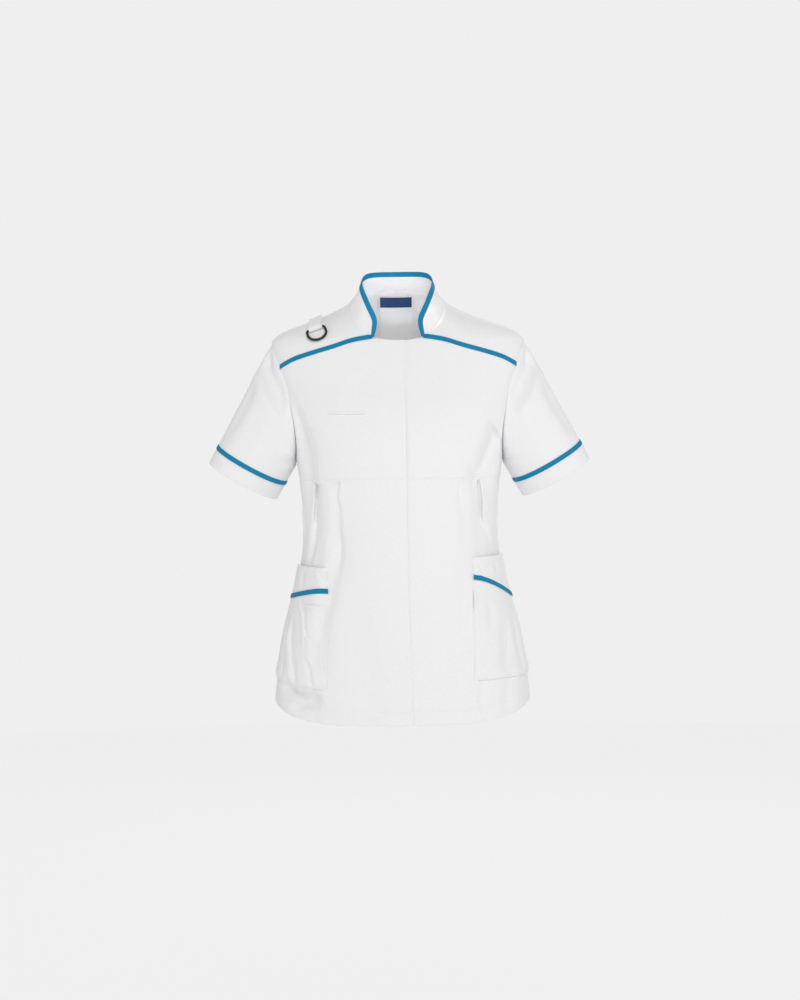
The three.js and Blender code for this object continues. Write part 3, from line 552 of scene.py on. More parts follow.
def pleated(cloth, pleats):
    """Height and slide of every point of a panel for its pleats."""
    arc, level = np.moveaxis(cloth.body_chart(), 2, 0)
    arc, level = arc / (BODY_RADIUS * math.radians(1)), level / MM
    degree = BODY_RADIUS * math.radians(1) / MM
    height, slide = np.zeros_like(arc), np.zeros_like(arc)
    for pleat in pleats:
        angles, heights = np.array(pleat.lip).T
        across = (arc - np.interp(-level, -heights, angles)) * degree * pleat.floor
        mouth = ease((heights[0] - level) / LIP_MOUTH)
        lapped, sunk = (
            ease((level - end) / (start - end)) for start, end in (pleat.lap_ends, pleat.depth_ends)
        )
        turn = across / (LIP_TURN * (1 + 2.5 * (1 - lapped)))
        rise = np.clip(1 - (across - LIP_TURN) / pleat.flank, 0, 1)
        floor = ease((turn + 1) / 2) * (0.6 * rise + 0.4 * ease(rise))
        roll = 0.5 * lapped * np.exp(-(((across + 5) / 4) ** 2))
        gap = pleat.slit * lapped * ease(turn) * np.exp(-(((across - LIP_TURN) / 2.6) ** 2))
        height += mouth * (roll - pleat.depth * sunk * floor - gap)
        slide -= pleat.floor * mouth * lapped * pleat.lap * math.sqrt(2 * math.e) * turn * np.exp(-(turn**2))
    return height * MM, slide * MM


# Seam rolls: depth, and how far in from the edge they reach, in millimetres.
PLAIN_ROLL = (0.3, 2.2)
HEM_ROLL = (1.1, 1.8)
ARMHOLE_ROLL = (1.4, 7.0)
SIDE_ROLL = (1.0, 5.0)
SLEEVE_ROLL = (1.8, 8.0)


def seam_roll(cloth, edges, roll=PLAIN_ROLL):
    """Cloth turned under along its sewn edges."""
    depth, reach = roll
    height = np.zeros(cloth.points.shape[:2])
    for edge in edges:
        height -= depth * MM * np.exp(-((cloth.from_edge(edge) / (reach * MM)) ** 2))
    return height


def pucker(cloth, edge, depth=0.3, reach=9.0, pitch=8.0, phase=0.0):
    """Small uneven gathers that a row of stitches pulls into the cloth beside an edge."""
    u, v = np.meshgrid(cloth.u, cloth.v)
    run = (u if edge in ("bottom", "top") else v) / (pitch * MM) * 2 * math.pi + phase
    wave = np.sin(run) + 0.6 * np.sin(0.61 * run + 1.3) + 0.5 * np.sin(1.73 * run + 0.4)
    away = cloth.from_edge(edge) / (reach * MM)
    return 0.5 * depth * MM * wave * away * np.exp(1 - away)


HEM_ROW = 1.5 * MM  # the hem's stitches lie this far inside its turned edge
HEM_GROOVE = 0.35 * MM  # how deep they draw the cloth in


def hem_ledge(cloth, depth, step):
    """Turned hem: the cloth is double up to the hem's stitching, and dips along it."""
    rise = cloth.from_edge("bottom")
    ledge = step * (1 - ease((rise - depth - 0.6 * MM) / (1.4 * MM)))
    groove = HEM_GROOVE * np.exp(-(((rise - depth + HEM_ROW) / (1.1 * MM)) ** 2))
    return ledge - groove


# Creases of the front, in degrees round the body from the centre line and millimetres of height.
FRONT_CREASES = [
    # the pleats run on down as soft folds
    Crease([(-38.4, -375), (-38.4, -430), (-41, -480), (-43.4, -529), (-43.8, -575), (-42.4, -650)],
           14, -7.0, 0.2, (0.12, 0.4)),
    Crease([(-44, -350), (-43.7, -430), (-44, -470)], 8, 1.0, 0.0, (0.3, 0.4)),
    Crease([(-57, -385), (-60, -420), (-62, -455)], 9, -2.0, -0.4, (0.2, 0.4)),
    Crease([(34, -420), (34.2, -481), (34.2, -529), (33.2, -581), (34.8, -640)], 10, -2.6, -0.4, (0.3, 0.3)),
    Crease([(42, -335), (46, -370), (50, -405), (52, -440)], 17, -2.4, 0.3, (0.2, 0.4)),
    # long folds that hang from the raised waist to the hem
    Crease([(-28.4, -470), (-24, -550), (-18.5, -617), (-13, -690)], 24, -4.4, -0.35, (0.35, 0.05)),
    Crease([(-6, -560), (-3, -640), (-2, -700)], 20, -1.2, 0.3, (0.4, 0.05)),
    Crease([(22, -430), (24, -540), (22, -650), (24, -710)], 20, -1.7, -0.4, (0.4, 0.05)),
    Crease([(41.2, -625), (40.3, -661), (41.5, -690)], 7, -2.0, 0.4, (0.2, 0.2)),
    Crease([(64.5, -560), (59.8, -601), (56.4, -648), (53.8, -690)], 13, -2.4, -0.4, (0.3, 0.1)),
    # the pocket's weight draws the cloth in under it
    Crease([(-71, -636), (-60.3, -651), (-52.7, -659), (-44.5, -658), (-39, -652)],
           12, -16.0, 0.2, (0.25, 0.3)),
    Crease([(-62, -668), (-52, -680), (-40, -690)], 10, -5.0, 0.3, (0.3, 0.3)),
    # folds beside the side seams, pulled in at the waist
    Crease([(-76, -330), (-72, -380), (-70, -430)], 9, -2.4, 0.5),
    Crease([(-84, -350), (-76, -400), (-74, -440)], 7, -1.8, -0.5),
    Crease([(75, -335), (72, -390), (69, -430)], 9, -2.2, -0.5),
    Crease([(83, -345), (77, -395), (74, -430)], 7, -1.7, 0.5),
    # soft folds from the armholes down the sides of the chest
    Crease([(-70, -170), (-66, -210), (-64, -250), (-64, -296)], 12, -1.6, 0.2, (0.2, 0.2)),
    Crease([(68.5, -212), (61.4, -246), (55.1, -271), (51.5, -298)], 9, -1.6, -0.4, (0.3, 0.2)),
    # shallow drag lines of the bodice
    Crease([(-30, -120), (-26, -180), (-24, -240)], 20, -1.3, 0.4),
    Crease([(28, -115), (25, -175), (22, -250)], 20, -1.2, -0.4),
    Crease([(-12, -220), (-14, -260), (-15, -298)], 12, -0.8, 0.4, (0.5, 0.1)),
    Crease([(13, -210), (15, -255), (16, -298)], 12, -0.8, -0.4, (0.5, 0.1)),
]

# Fold edges of the front, where its flat middle turns back to the sides.
FRONT_FALLS = [
    Fall([(-73.4, -113), (-68.7, -141), (-62.7, -167), (-57.2, -193), (-51.6, -219), (-48.6, -244),
          (-48.1, -267), (-49.1, -294), (-50, -330), (-50, -370)], 1, 9.0, 90, (0.25, 0.3)),
    Fall([(63.4, -188), (54, -199), (51.8, -222), (46.4, -254), (40.3, -280), (37, -300), (37, -350)],
         -1, 8.0, 80, (0.25, 0.3)),
]

PLEATS = {
    "right": [
        Pleat([(-57, -303), (-58.4, -325), (-59.2, -344), (-59.2, -366), (-60, -385), (-62, -407),
               (-63.5, -440)],
              1, 3.4, 4.5, 7.0, 34, (-362, -392), (-370, -450)),
        Pleat([(-34.9, -303), (-36.5, -332), (-36.1, -365), (-35.8, -397), (-35.5, -430), (-36, -520)],
              -1, 2.8, 2.0, 5.4, 19, (-325, -360), (-390, -480)),
    ],
    "left": [
        Pleat([(52.6, -303), (54.1, -341), (55.7, -373), (59.6, -388), (62.8, -403), (65, -430)],
              -1, 3.2, 5.4, 4.2, 30, (-362, -385), (-372, -440)),
        Pleat([(33.9, -303), (36.2, -362), (36.7, -400), (37.6, -433)],
              1, 1.6, 0.6, 2.8, 24, (-318, -345), (-370, -450)),
    ],
}
# Stretches of the skirts' width, from the side seam or the centre, that hold the lips, and the
# solids' own pleat columns, counted from the centre, which these finer pleats stand for.
PLEAT_BANDS = {"right": ((0.088, 0.119), (0.158, 0.182)), "left": ((0.112, 0.137), (0.168, 0.196))}
PLEAT_COLUMNS = (5, 6, 7, 10, 11, 12)

# Creases of the back, in degrees round the body from the centre back.
BACK_CREASES = [
    Crease([(-8, -60), (-14, -180), (-18, -300)], 22, -4.1, 0.4),
    Crease([(9, -70), (13, -190), (15, -310)], 20, -3.7, -0.4),
    Crease([(-40, -110), (-36, -200), (-30, -300)], 16, -5.1, -0.5),
    Crease([(42, -120), (37, -210), (31, -310)], 16, -4.6, 0.5),
    Crease([(-62, -270), (-48, -330), (-30, -370)], 10, -5.5, 0.5),
    Crease([(-66, -330), (-50, -370), (-36, -392)], 8, -4.1, 0.5),
    Crease([(60, -280), (46, -335), (28, -372)], 10, -5.1, -0.5),
    Crease([(65, -340), (52, -378), (38, -398)], 8, -3.7, -0.5),
    Crease([(-22, -430), (-20, -560), (-20, -685)], 19, -5.5, 0.4, (0.4, 0.05)),
    Crease([(2, -480), (1, -600), (0, -688)], 18, -4.1, -0.4, (0.4, 0.05)),
    Crease([(24, -440), (21, -570), (22, -685)], 19, -5.1, -0.4, (0.4, 0.05)),
    Crease([(-50, -470), (-53, -590), (-55, -680)], 17, -6.0, -0.4, (0.4, 0.05)),
    Crease([(51, -480), (54, -600), (55, -680)], 17, -5.8, 0.4, (0.4, 0.05)),
]


SEAM_HOLD = 22 * MM  # width beside a side seam or armhole over which the folds die away


def body_folds(cloth, creases, falls=(), held=()):
    """Creases placed round the body, for a panel and for what lies on it; held edges stay in place."""
    chart, degree = cloth.body_chart(), BODY_RADIUS * math.radians(1)
    height = creased(chart, creases, degree) + fallen(chart, falls, degree)
    for edge in held:
        height *= ease(cloth.from_edge(edge) / SEAM_HOLD)
    return height


COLLAR_GRID = 2.4 * MM  # spacing of the points of the collar


def neck_seam():
    """Places along the collar's lower edge, and the way halfway between the collar and the shoulders."""
    collar = Cloth("collar", spacing=COLLAR_GRID)
    way = collar.normals()[0] + (0, 0, 1)
    return collar.points[0].copy(), way / np.linalg.norm(way, axis=1, keepdims=True)


def soften_neck(cloth, seam, height=2.4, reach=7.0):
    """Fills the angle at the foot of the collar, so that it flows into the shoulders."""
    places, way = seam
    points = cloth.points.reshape(-1, 1, 3)
    apart = np.linalg.norm(points - places, axis=2)
    nearest = apart.argmin(axis=1)
    rise = height * MM * np.exp(-apart.min(axis=1) / (reach * MM))
    cloth.points = cloth.points + (way[nearest] * rise[:, None]).reshape(cloth.points.shape)


# ----------------------------------------------------------------------------------------------
# Sewing
# ----------------------------------------------------------------------------------------------
# A stitch from end to end: place along it, how full it is there, and how far it stands out.
STITCH_PROFILE = [(-0.5, 0.0, -0.5), (-0.28, 1.0, 0.25), (0.28, 1.0, 0.25), (0.5, 0.0, -0.5)]
STITCH_SHARE = 0.92  # share of the stitch length that shows; the rest dips into the cloth
THREAD_FLAT = 0.6  # a sewn thread's height as a share of its width
PANEL_ENDS = 2 * MM  # rows of stitches stop this short of a panel's edges
PATCH_ENDS = 1 * MM  # and this short of the edges of a pocket or a tape
SEAM_ROW = 1.8 * MM  # top stitching lies this far from the seam
PATCH_ROW = 1.6 * MM  # a pocket's stitches lie this far in from its edges


def stitch_row(row, spacing, thread):
    """Points and faces of the stitches along one row of (points, outward directions)."""
    places, outward = row
    run = np.concatenate([[0], np.cumsum(np.linalg.norm(np.diff(places, axis=0), axis=1))])
    count = max(1, int(run[-1] / spacing))
    centres = (np.arange(count) + 0.5) * run[-1] / count
    points, faces = [], []
    for centre in centres:
        here, up = (np.array([np.interp(centre, run, a[:, k]) for k in range(3)]) for a in (places, outward))
        ahead = np.array([np.interp(centre + 0.4 * spacing, run, places[:, k]) for k in range(3)])
        behind = np.array([np.interp(centre - 0.4 * spacing, run, places[:, k]) for k in range(3)])
        way = (ahead - behind) / np.linalg.norm(ahead - behind)
        side = np.cross(up, way)
        first = len(points)
        for place, swell, rise in STITCH_PROFILE:
            middle = here + way * place * spacing * STITCH_SHARE + up * rise * thread
            if swell:
                points += [middle + (side * a + up * b * THREAD_FLAT) * swell * thread / 2
                           for a, b in ((1, 0), (0, 1), (-1, 0), (0, -1))]
            else:
                points.append(middle)
        a, b = first + 1, first + 5
        for k in range(4):
            m = (k + 1) % 4
            faces += [(first, a + m, a + k), (a + k, a + m, b + m, b + k), (b + k, b + m, first + 9)]
    return points, faces


def sew(name, rows, finish, body="garment"):
    """One mesh of all the stitches of several rows."""
    points, faces = [], []
    for row in rows:
        new_points, new_faces = stitch_row(row, sizes().stitch, sizes().thread)
        faces += [tuple(c + len(points) for c in face) for face in new_faces]
        points += new_points
    mesh = bpy.data.meshes.new(name)
    mesh.from_pydata([tuple(p) for p in points], [], faces)
    mesh.shade_smooth()
    return finished(name, mesh, finish, body)


# ----------------------------------------------------------------------------------------------
# Materials
# ----------------------------------------------------------------------------------------------
def add_node(tree, kind, place, settings=(), **links):
    """Adds a shader node, sets its values and links its sockets."""
    node = tree.nodes.new(kind)
    node.location = place
    for key, value in dict(settings).items():
        if hasattr(node, key):
            setattr(node, key, value)
        else:
            node.inputs[key].default_value = value
    for socket, source in links.items():
        tree.links.new(source, node.inputs[socket.replace("_", " ")])
    return node


def new_material(name):
    """A new material, and its empty node tree."""
    material = bpy.data.materials.new(name)
    material.use_nodes = True
    tree = material.node_tree
    tree.nodes.clear()
    return material, tree


WAVE_PITCH = 0.2 * math.pi / math.sqrt(2)  # from band to band of a diagonal wave texture at scale 1
LIMP_SIZE = 45.5 * MM  # from one soft hollow of washed cloth to the next
LIMP_DEPTH = 4.0 * MM  # depth of those hollows, before the share that is used of it
SLUB_SIZE = 2.4 * MM  # length of the slightly darker stretches of yarn


def woven(name, colour, roughness, sheen, pitch, weave_depth, slub=0.03):
    """Woven cloth: diagonal ribs at a pitch, softly uneven, with slubs that darken its tone a little."""
    material, tree = new_material(name)
    flat = add_node(tree, "ShaderNodeUVMap", (-1100, 0), {"uv_map": "cloth"})
    solid = add_node(tree, "ShaderNodeTexCoord", (-1100, -350))
    ribs = add_node(
        tree, "ShaderNodeTexWave", (-850, 100),
        {"bands_direction": "DIAGONAL", "Scale": WAVE_PITCH / pitch, "Distortion": 0.4,
         "Detail": 1.0, "Detail Scale": 2.0},
        Vector=flat.outputs["UV"],
    )
    limp = add_node(
        tree, "ShaderNodeTexNoise", (-850, -250), {"Scale": 1 / LIMP_SIZE, "Detail": 3.0, "Roughness": 0.45},
        Vector=solid.outputs["Object"],
    )
    tone = add_node(
        tree, "ShaderNodeTexNoise", (-850, -550), {"Scale": 1 / SLUB_SIZE, "Detail": 2.0},
        Vector=solid.outputs["Object"],
    )
    shade = add_node(tree, "ShaderNodeValToRGB", (-600, -500), {}, Fac=tone.outputs["Fac"])
    darker, plain = shade.color_ramp.elements
    darker.color = [c * (1 - slub) for c in colour[:3]] + [1.0]
    darker.position = 0.3
    plain.color = colour
    plain.position = 0.7
    drape = add_node(
        tree, "ShaderNodeBump", (-350, -250), {"Strength": 0.25, "Distance": LIMP_DEPTH},
        Height=limp.outputs["Fac"],
    )
    weave = add_node(
        tree, "ShaderNodeBump", (-150, -100), {"Strength": 0.4, "Distance": weave_depth},
        Height=ribs.outputs["Fac"], Normal=drape.outputs["Normal"],
    )
    shader = add_node(
        tree, "ShaderNodeBsdfPrincipled", (100, 0),
        {"Roughness": roughness, "Sheen Weight": sheen, "Sheen Roughness": 0.5,
         "Specular IOR Level": 0.25},
        Normal=weave.outputs["Normal"],
    )
    tree.links.new(shade.outputs["Color"], shader.inputs["Base Color"])
    add_node(tree, "ShaderNodeOutputMaterial", (400, 0), {}, Surface=shader.outputs["BSDF"])
    return material


def twill():
    """Woven polyester-cotton twill, bleached white: matt, with fine diagonal ribs.

    Real ribs are about 0.4 mm apart. They are drawn 2.7 mm apart, because finer ones don't show.
    """
    name = "polyester-cotton twill, white"
    found = bpy.data.materials.get(name)
    return found or woven(name, list(colours().cloth), 0.82, 0.12, sizes().twill_pitch, 0.14 * MM)


def tape_cloth():
    """Woven polyester tape, dyed: closer and smoother than the twill, so it is less matt.

    Real ribs are about 0.3 mm apart. They are drawn 2.2 mm apart, because finer ones don't show.
    """
    name = "polyester tape, dyed"
    found = bpy.data.materials.get(name)
    return found or woven(name, list(colours().tape), 0.65, 0.02, 2.2 * MM, 0.1 * MM, slub=0.12)


LABEL_PITCH = 2.0 * MM  # a label's threads are about 0.15 mm apart, too fine to show


def header_cloth():
    """Damask-woven polyester label, dark and slightly glossy."""
    return woven("damask label, dark", list(colours().header), 0.5, 0.2, LABEL_PITCH, 0.08 * MM, slub=0.1)


def label_cloth():
    """Satin-woven polyester label, white and smooth."""
    return woven("satin label, white", list(colours().label), 0.45, 0.2, LABEL_PITCH, 0.05 * MM, slub=0.02)


THREAD_TWIST = 0.4 * MM  # length of one turn of a thread's plies
MOULD_GRAIN = 1.1 * MM  # grain that the mould leaves on the ring
FINE_RELIEF = 0.1 * MM  # depth of both


def spun_thread(name, colour):
    """Spun polyester sewing thread: rounded, and a little glossier than the cloth."""
    found = bpy.data.materials.get(name)
    if found:
        return found
    material, tree = new_material(name)
    solid = add_node(tree, "ShaderNodeTexCoord", (-700, 0))
    twist = add_node(
        tree, "ShaderNodeTexNoise", (-500, 0), {"Scale": 1 / THREAD_TWIST, "Detail": 1.0},
        Vector=solid.outputs["Object"],
    )
    bump = add_node(
        tree, "ShaderNodeBump", (-250, -100), {"Strength": 0.4, "Distance": FINE_RELIEF},
        Height=twist.outputs["Fac"],
    )
    shader = add_node(
        tree, "ShaderNodeBsdfPrincipled", (0, 0), {"Base Color": colour, "Roughness": 0.5},
        Normal=bump.outputs["Normal"],
    )
    add_node(tree, "ShaderNodeOutputMaterial", (300, 0), {}, Surface=shader.outputs["BSDF"])
    return material


def moulded_acetal():
    """Injection-moulded acetal, black: smooth, with a soft gloss and a faint texture of the mould."""
    material, tree = new_material("moulded acetal, black")
    solid = add_node(tree, "ShaderNodeTexCoord", (-700, 0))
    grain = add_node(
        tree, "ShaderNodeTexNoise", (-500, 0), {"Scale": 1 / MOULD_GRAIN, "Detail": 2.0},
        Vector=solid.outputs["Object"],
    )
    bump = add_node(
        tree, "ShaderNodeBump", (-250, -100), {"Strength": 0.25, "Distance": FINE_RELIEF},
        Height=grain.outputs["Fac"],
    )
    shader = add_node(
        tree, "ShaderNodeBsdfPrincipled", (0, 0),
        {"Base Color": list(colours().ring), "Roughness": 0.32, "IOR": 1.48},
        Normal=bump.outputs["Normal"],
    )
    add_node(tree, "ShaderNodeOutputMaterial", (300, 0), {}, Surface=shader.outputs["BSDF"])
    return material


def white_thread():
    """Thread that sews the white cloth."""
    return spun_thread("spun polyester thread, white", list(colours().cloth))


def tape_thread():
    """Thread that sews the tape, of the tape's own colour."""
    return spun_thread("spun polyester thread, dyed", list(colours().tape))


# ----------------------------------------------------------------------------------------------
# Tape
# ----------------------------------------------------------------------------------------------
TRIM_GRID = 1.8 * MM  # spacing of the points of a tape or a label
TAPE_DROP = 0.5  # how far a tape is pressed down from its solid's outer face, in millimetres
TAPE_ROW = 1.0 * MM  # a tape's stitches lie this far in from its edges
TAPE_ROUNDING = 0.45  # how full a tape's folded edge is, as a share of its thickness


def crown(cloth, rise=0.22):
    """Slight swelling of a folded tape between its edges, which are drawn down by their stitches."""
    middle = cloth.from_edge("bottom") / cloth.v[-1] * 2 - 1
    stitched = 0.12 * np.exp(-(((np.abs(middle) - 0.72) / 0.12) ** 2))
    return (rise * (1 - middle**2) - stitched - TAPE_DROP) * MM


def tape_piece(tape):
    """A shaped tape as a piece that stands for its solid."""
    piece = shell(f"{tape.node}_tape", tape, sizes().tape, tape_cloth(), rounding=TAPE_ROUNDING)
    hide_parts(tape.node)
    return piece


def tape_rows(cloth):
    """A row of stitches beside each long edge of a tape."""
    return [cloth.along(edge, TAPE_ROW, PATCH_ENDS) for edge in ("bottom", "top")]


# ----------------------------------------------------------------------------------------------
# Fronts, yokes and back
# ----------------------------------------------------------------------------------------------
def declare(piece, cloth, slot="cloth", with_pieces=()):
    """A finished sheet stands for its solid; its flat size is measured on its own grid."""
    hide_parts(cloth.node)
    area = cloth.area()


def outside_edge(side, edge):
    """Name of a wearer's-left panel's edge, mirrored for the wearer's right."""
    swap = {"left": "right", "right": "left"}
    return swap.get(edge, edge) if side == "right" else edge


LAP_CLEAR = 0.15 * MM  # how far the lap's edge stands off
UNDERLAP_RISE = 0.6 * MM  # how far the underlap comes up beside the lap's edge
UNDERLAP_DIP = 0.9 * MM  # and how far it goes down again where the lap covers it
LAP_LINE = 23.0 * MM  # width of the underlap that the lap covers


def lap_edge(cloth, side):
    """The lap's edge stands just clear of the underlap, which comes up to meet it."""
    centre = cloth.from_edge(outside_edge(side, "left"))
    if side == "right":
        return LAP_CLEAR * np.exp(-((centre / (4 * MM)) ** 2))
    under = UNDERLAP_RISE * (1 - ease((centre - 32 * MM) / (28 * MM)))
    return under - UNDERLAP_DIP * (1 - ease((centre - LAP_LINE) / (7 * MM)))


def front_skirt(side):
    """Front skirt of one side, with its pleats, and its rows of stitches."""
    name, outer = f"front_skirt_{side}", outside_edge(side, "right")
    columns = PLEAT_COLUMNS
    if side == "right":
        last = read_grid(name)[0].shape[1] - 1
        columns = [last - column for column in columns]
    cloth = Cloth(name, bands=PLEAT_BANDS[side], without=columns)
    pleats, slide = pleated(cloth, PLEATS[side])
    cloth.lift(
        body_folds(cloth, FRONT_CREASES, FRONT_FALLS, (outer,))
        + pleats
        + lap_edge(cloth, side)
        + hem_ledge(cloth, sizes().hem_depth, sizes().hem_step)
        + seam_roll(cloth, ("bottom",), HEM_ROLL)
        + seam_roll(cloth, ("top", outer))
        + pucker(cloth, "top", 0.4)
        + pucker(cloth, outer, 0.3, phase=2.0),
        slide,
    )
    rows = [
        cloth.along("bottom", sizes().hem_depth - HEM_ROW, PANEL_ENDS),
        cloth.along("top", SEAM_ROW, PANEL_ENDS),
    ]
    return shell(f"{name}_cloth", cloth, sizes().cloth, twill()), cloth, rows


def front_bodice(side):
    """Front bodice of one side."""
    cloth = Cloth(f"bodice_front_{side}")
    outer = outside_edge(side, "right")
    cloth.lift(
        body_folds(cloth, FRONT_CREASES, FRONT_FALLS, (outer,))
        + lap_edge(cloth, side)
        + seam_roll(cloth, ("bottom", "top"))
        + seam_roll(cloth, (outer,), ARMHOLE_ROLL)
        + pucker(cloth, "bottom", 0.35, phase=1.0)
        + pucker(cloth, outer, 0.3)
    )
    return shell(f"bodice_front_{side}_cloth", cloth, sizes().cloth, twill()), cloth


def chest_welt():
    """Welt of the chest pocket, sewn flat on the bodice."""
    welt = Cloth("chest_pocket_welt", spacing=TRIM_GRID)
    welt.lift(
        body_folds(welt, FRONT_CREASES, FRONT_FALLS)
        + pressed_down(welt, ("left", "right"), 1.5, 2.0)
        + pressed_down(welt, ("top",), 1.6, 4.5)
        - 0.4 * MM
    )
    piece = shell("chest_pocket_welt_cloth", welt, sizes().cloth, twill())
    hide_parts(welt.node)
    rows = [welt.along(edge, 1.2 * MM, PATCH_ENDS) for edge in ("left", "right")]
    sew("chest_pocket_stitches", rows, white_thread())
    return piece


YOKE_TO_COLLAR = 0.4 * MM  # how far a yoke or the back runs on into the collar's seam
YOKE_TO_BACK = 1.6 * MM  # how far a yoke runs on into its seam with the back
TAPE_TO_NECK = 3.5 * MM  # how far a yoke's tape runs on to meet the collar's binding


def yoke_cloth(side):
    """Shoulder yoke of one side, closed up to the collar and the back."""
    neck, shoulder = outside_edge(side, "left"), outside_edge(side, "right")
    cloth = Cloth(f"yoke_{side}", spacing=2.6 * MM)
    cloth.lift(
        seam_roll(cloth, ("bottom", "top"))
        + seam_roll(cloth, (shoulder,), ARMHOLE_ROLL)
        + pucker(cloth, "top", 0.25)
        + pucker(cloth, shoulder, 0.3)
    )
    cloth.stretch(neck, YOKE_TO_COLLAR)
    cloth.stretch("top", YOKE_TO_BACK)
    soften_neck(cloth, neck_seam())
    return shell(f"yoke_{side}_cloth", cloth, sizes().cloth, twill()), cloth


def yoke_tape(side):
    """Tape sewn over a yoke's front seam."""
    tape = Cloth(f"yoke_piping_{side}", spacing=TRIM_GRID)
    tape.lift(body_folds(tape, FRONT_CREASES) + crown(tape))
    tape.stretch(outside_edge(side, "left"), TAPE_TO_NECK)
    piece = tape_piece(tape)
    sew(f"yoke_piping_{side}_stitches", tape_rows(tape), tape_thread())
    return piece


def back_cloth():
    """Back, in one panel, and its row of stitches."""
    cloth = Cloth("back", spacing=3.8 * MM)
    cloth.lift(
        body_folds(cloth, BACK_CREASES, held=("left", "right"))
        + hem_ledge(cloth, sizes().hem_depth, sizes().hem_step)
        + seam_roll(cloth, ("bottom",), HEM_ROLL)
        + seam_roll(cloth, ("left", "right"), SIDE_ROLL)
        + pucker(cloth, "left", 0.3)
        + pucker(cloth, "right", 0.3, phase=1.7)
    )
    cloth.stretch("top", YOKE_TO_COLLAR)
    soften_neck(cloth, neck_seam())
    rows = [cloth.along("bottom", sizes().hem_depth - HEM_ROW, PANEL_ENDS)]
    return shell("back_cloth", cloth, sizes().cloth, twill()), cloth, rows


class TUNIC_OT_body(bpy.types.Operator):
    """Fronts, yokes and back of the tunic, with the sewing of their hems and seams"""

    bl_idname = "tunic.body"
    bl_label = "Fronts, yokes and back"

    def execute(self, context):
        rows = []
        for side in SIDES:
            skirt, cloth, sewn = front_skirt(side)
            rows += sewn
            declare(skirt, cloth)
            bodice, cloth = front_bodice(side)
            declare(bodice, cloth, with_pieces=[chest_welt()] if side == "right" else [])
            yoke, cloth = yoke_cloth(side)
            declare(yoke, cloth, with_pieces=[yoke_tape(side)])
        piece, cloth, sewn = back_cloth()
        declare(piece, cloth)
        sew("body_stitches", rows + sewn, white_thread())
        return {"FINISHED"}


# ----------------------------------------------------------------------------------------------
# Sleeves
# ----------------------------------------------------------------------------------------------
# Folds of a sleeve, in degrees round it from its top (front first) and millimetres below the
# armhole seam; the same table serves both sleeves.
SLEEVE_CREASES = [
    # the hollow beside the armhole seam, over the front and over the back
    Crease([(6, 12), (20, 17), (40, 19), (62, 18), (85, 14), (105, 9)], 11, -12.0, -0.3, (0.15, 0.35)),
    Crease([(352, 12), (335, 16), (310, 18), (285, 16), (262, 10)], 10, -5.5, 0.3, (0.2, 0.35)),
    Crease([(24, 25), (26, 70), (22, 130)], 14, -3.2, 0.3, (0.3, 0.5)),
    Crease([(62, 40), (66, 90), (72, 150)], 14, -0.9, 0.5, (0.3, 0.4)),
    Crease([(118, 4), (108, 40), (94, 90)], 10, -1.6, -0.4, (0.1, 0.4)),
    Crease([(150, 2), (130, 30), (108, 60)], 8, -2.2, 0.5, (0.1, 0.4)),
    Crease([(168, 4), (145, 55), (118, 100)], 9, -1.8, 0.4, (0.1, 0.4)),
    Crease([(330, 12), (325, 70), (328, 150)], 14, -2.8, 0.5, (0.2, 0.5)),
    Crease([(295, 14), (290, 60), (282, 130)], 13, -2.8, -0.5, (0.2, 0.4)),
    Crease([(250, 4), (262, 40), (275, 90)], 11, -2.6, 0.4, (0.1, 0.4)),
    Crease([(212, 4), (235, 35), (255, 65)], 8, -2.4, -0.4, (0.1, 0.4)),
]


SLEEVE_ARC = 1.1 * MM  # length of one degree round a sleeve
SLEEVE_HOLD = 9.0 * MM  # width below the armhole over which a sleeve's folds die away
SLEEVE_REACH = 3.0 * MM  # how far a sleeve runs on into the armhole


class Sleeve(Cloth):
    """A ring of cloth whose chart is degrees round from the top and millimetres below the armhole."""

    def __init__(self, node, **options):
        super().__init__(node, own_middle=True, **options)

    def turns(self):
        """Degrees round the sleeve from its top, through the front, at every column."""
        ring = self.points[-1]
        top = ring[:, 2].argmax()
        front_first = self.u - self.u[top]
        ahead = np.interp(self.u[top] + 0.02, self.u, ring[:, 1], period=self.round)
        behind = np.interp(self.u[top] - 0.02, self.u, ring[:, 1], period=self.round)
        way = 1 if ahead < behind else -1
        return (way * front_first / self.round * 360) % 360

    def folds(self, creases, below):
        """Creases at every point, for a band that starts that far below the armhole."""
        turn, drop = np.meshgrid(self.turns(), below + self.v[-1] - self.v)
        height = np.zeros(turn.shape)
        for shift in (-360, 0, 360):
            chart = np.stack([(turn + shift) * SLEEVE_ARC, drop], axis=2)
            height += creased(chart, creases, SLEEVE_ARC)
        return height


BAND_HEM = 0.82  # share of a hem band's height up to which it is double
BAND_ROW = 0.78  # share of its height at which it is stitched
BAND_LAYERS = 1.6  # how many thicknesses of cloth a pressed hem band makes up


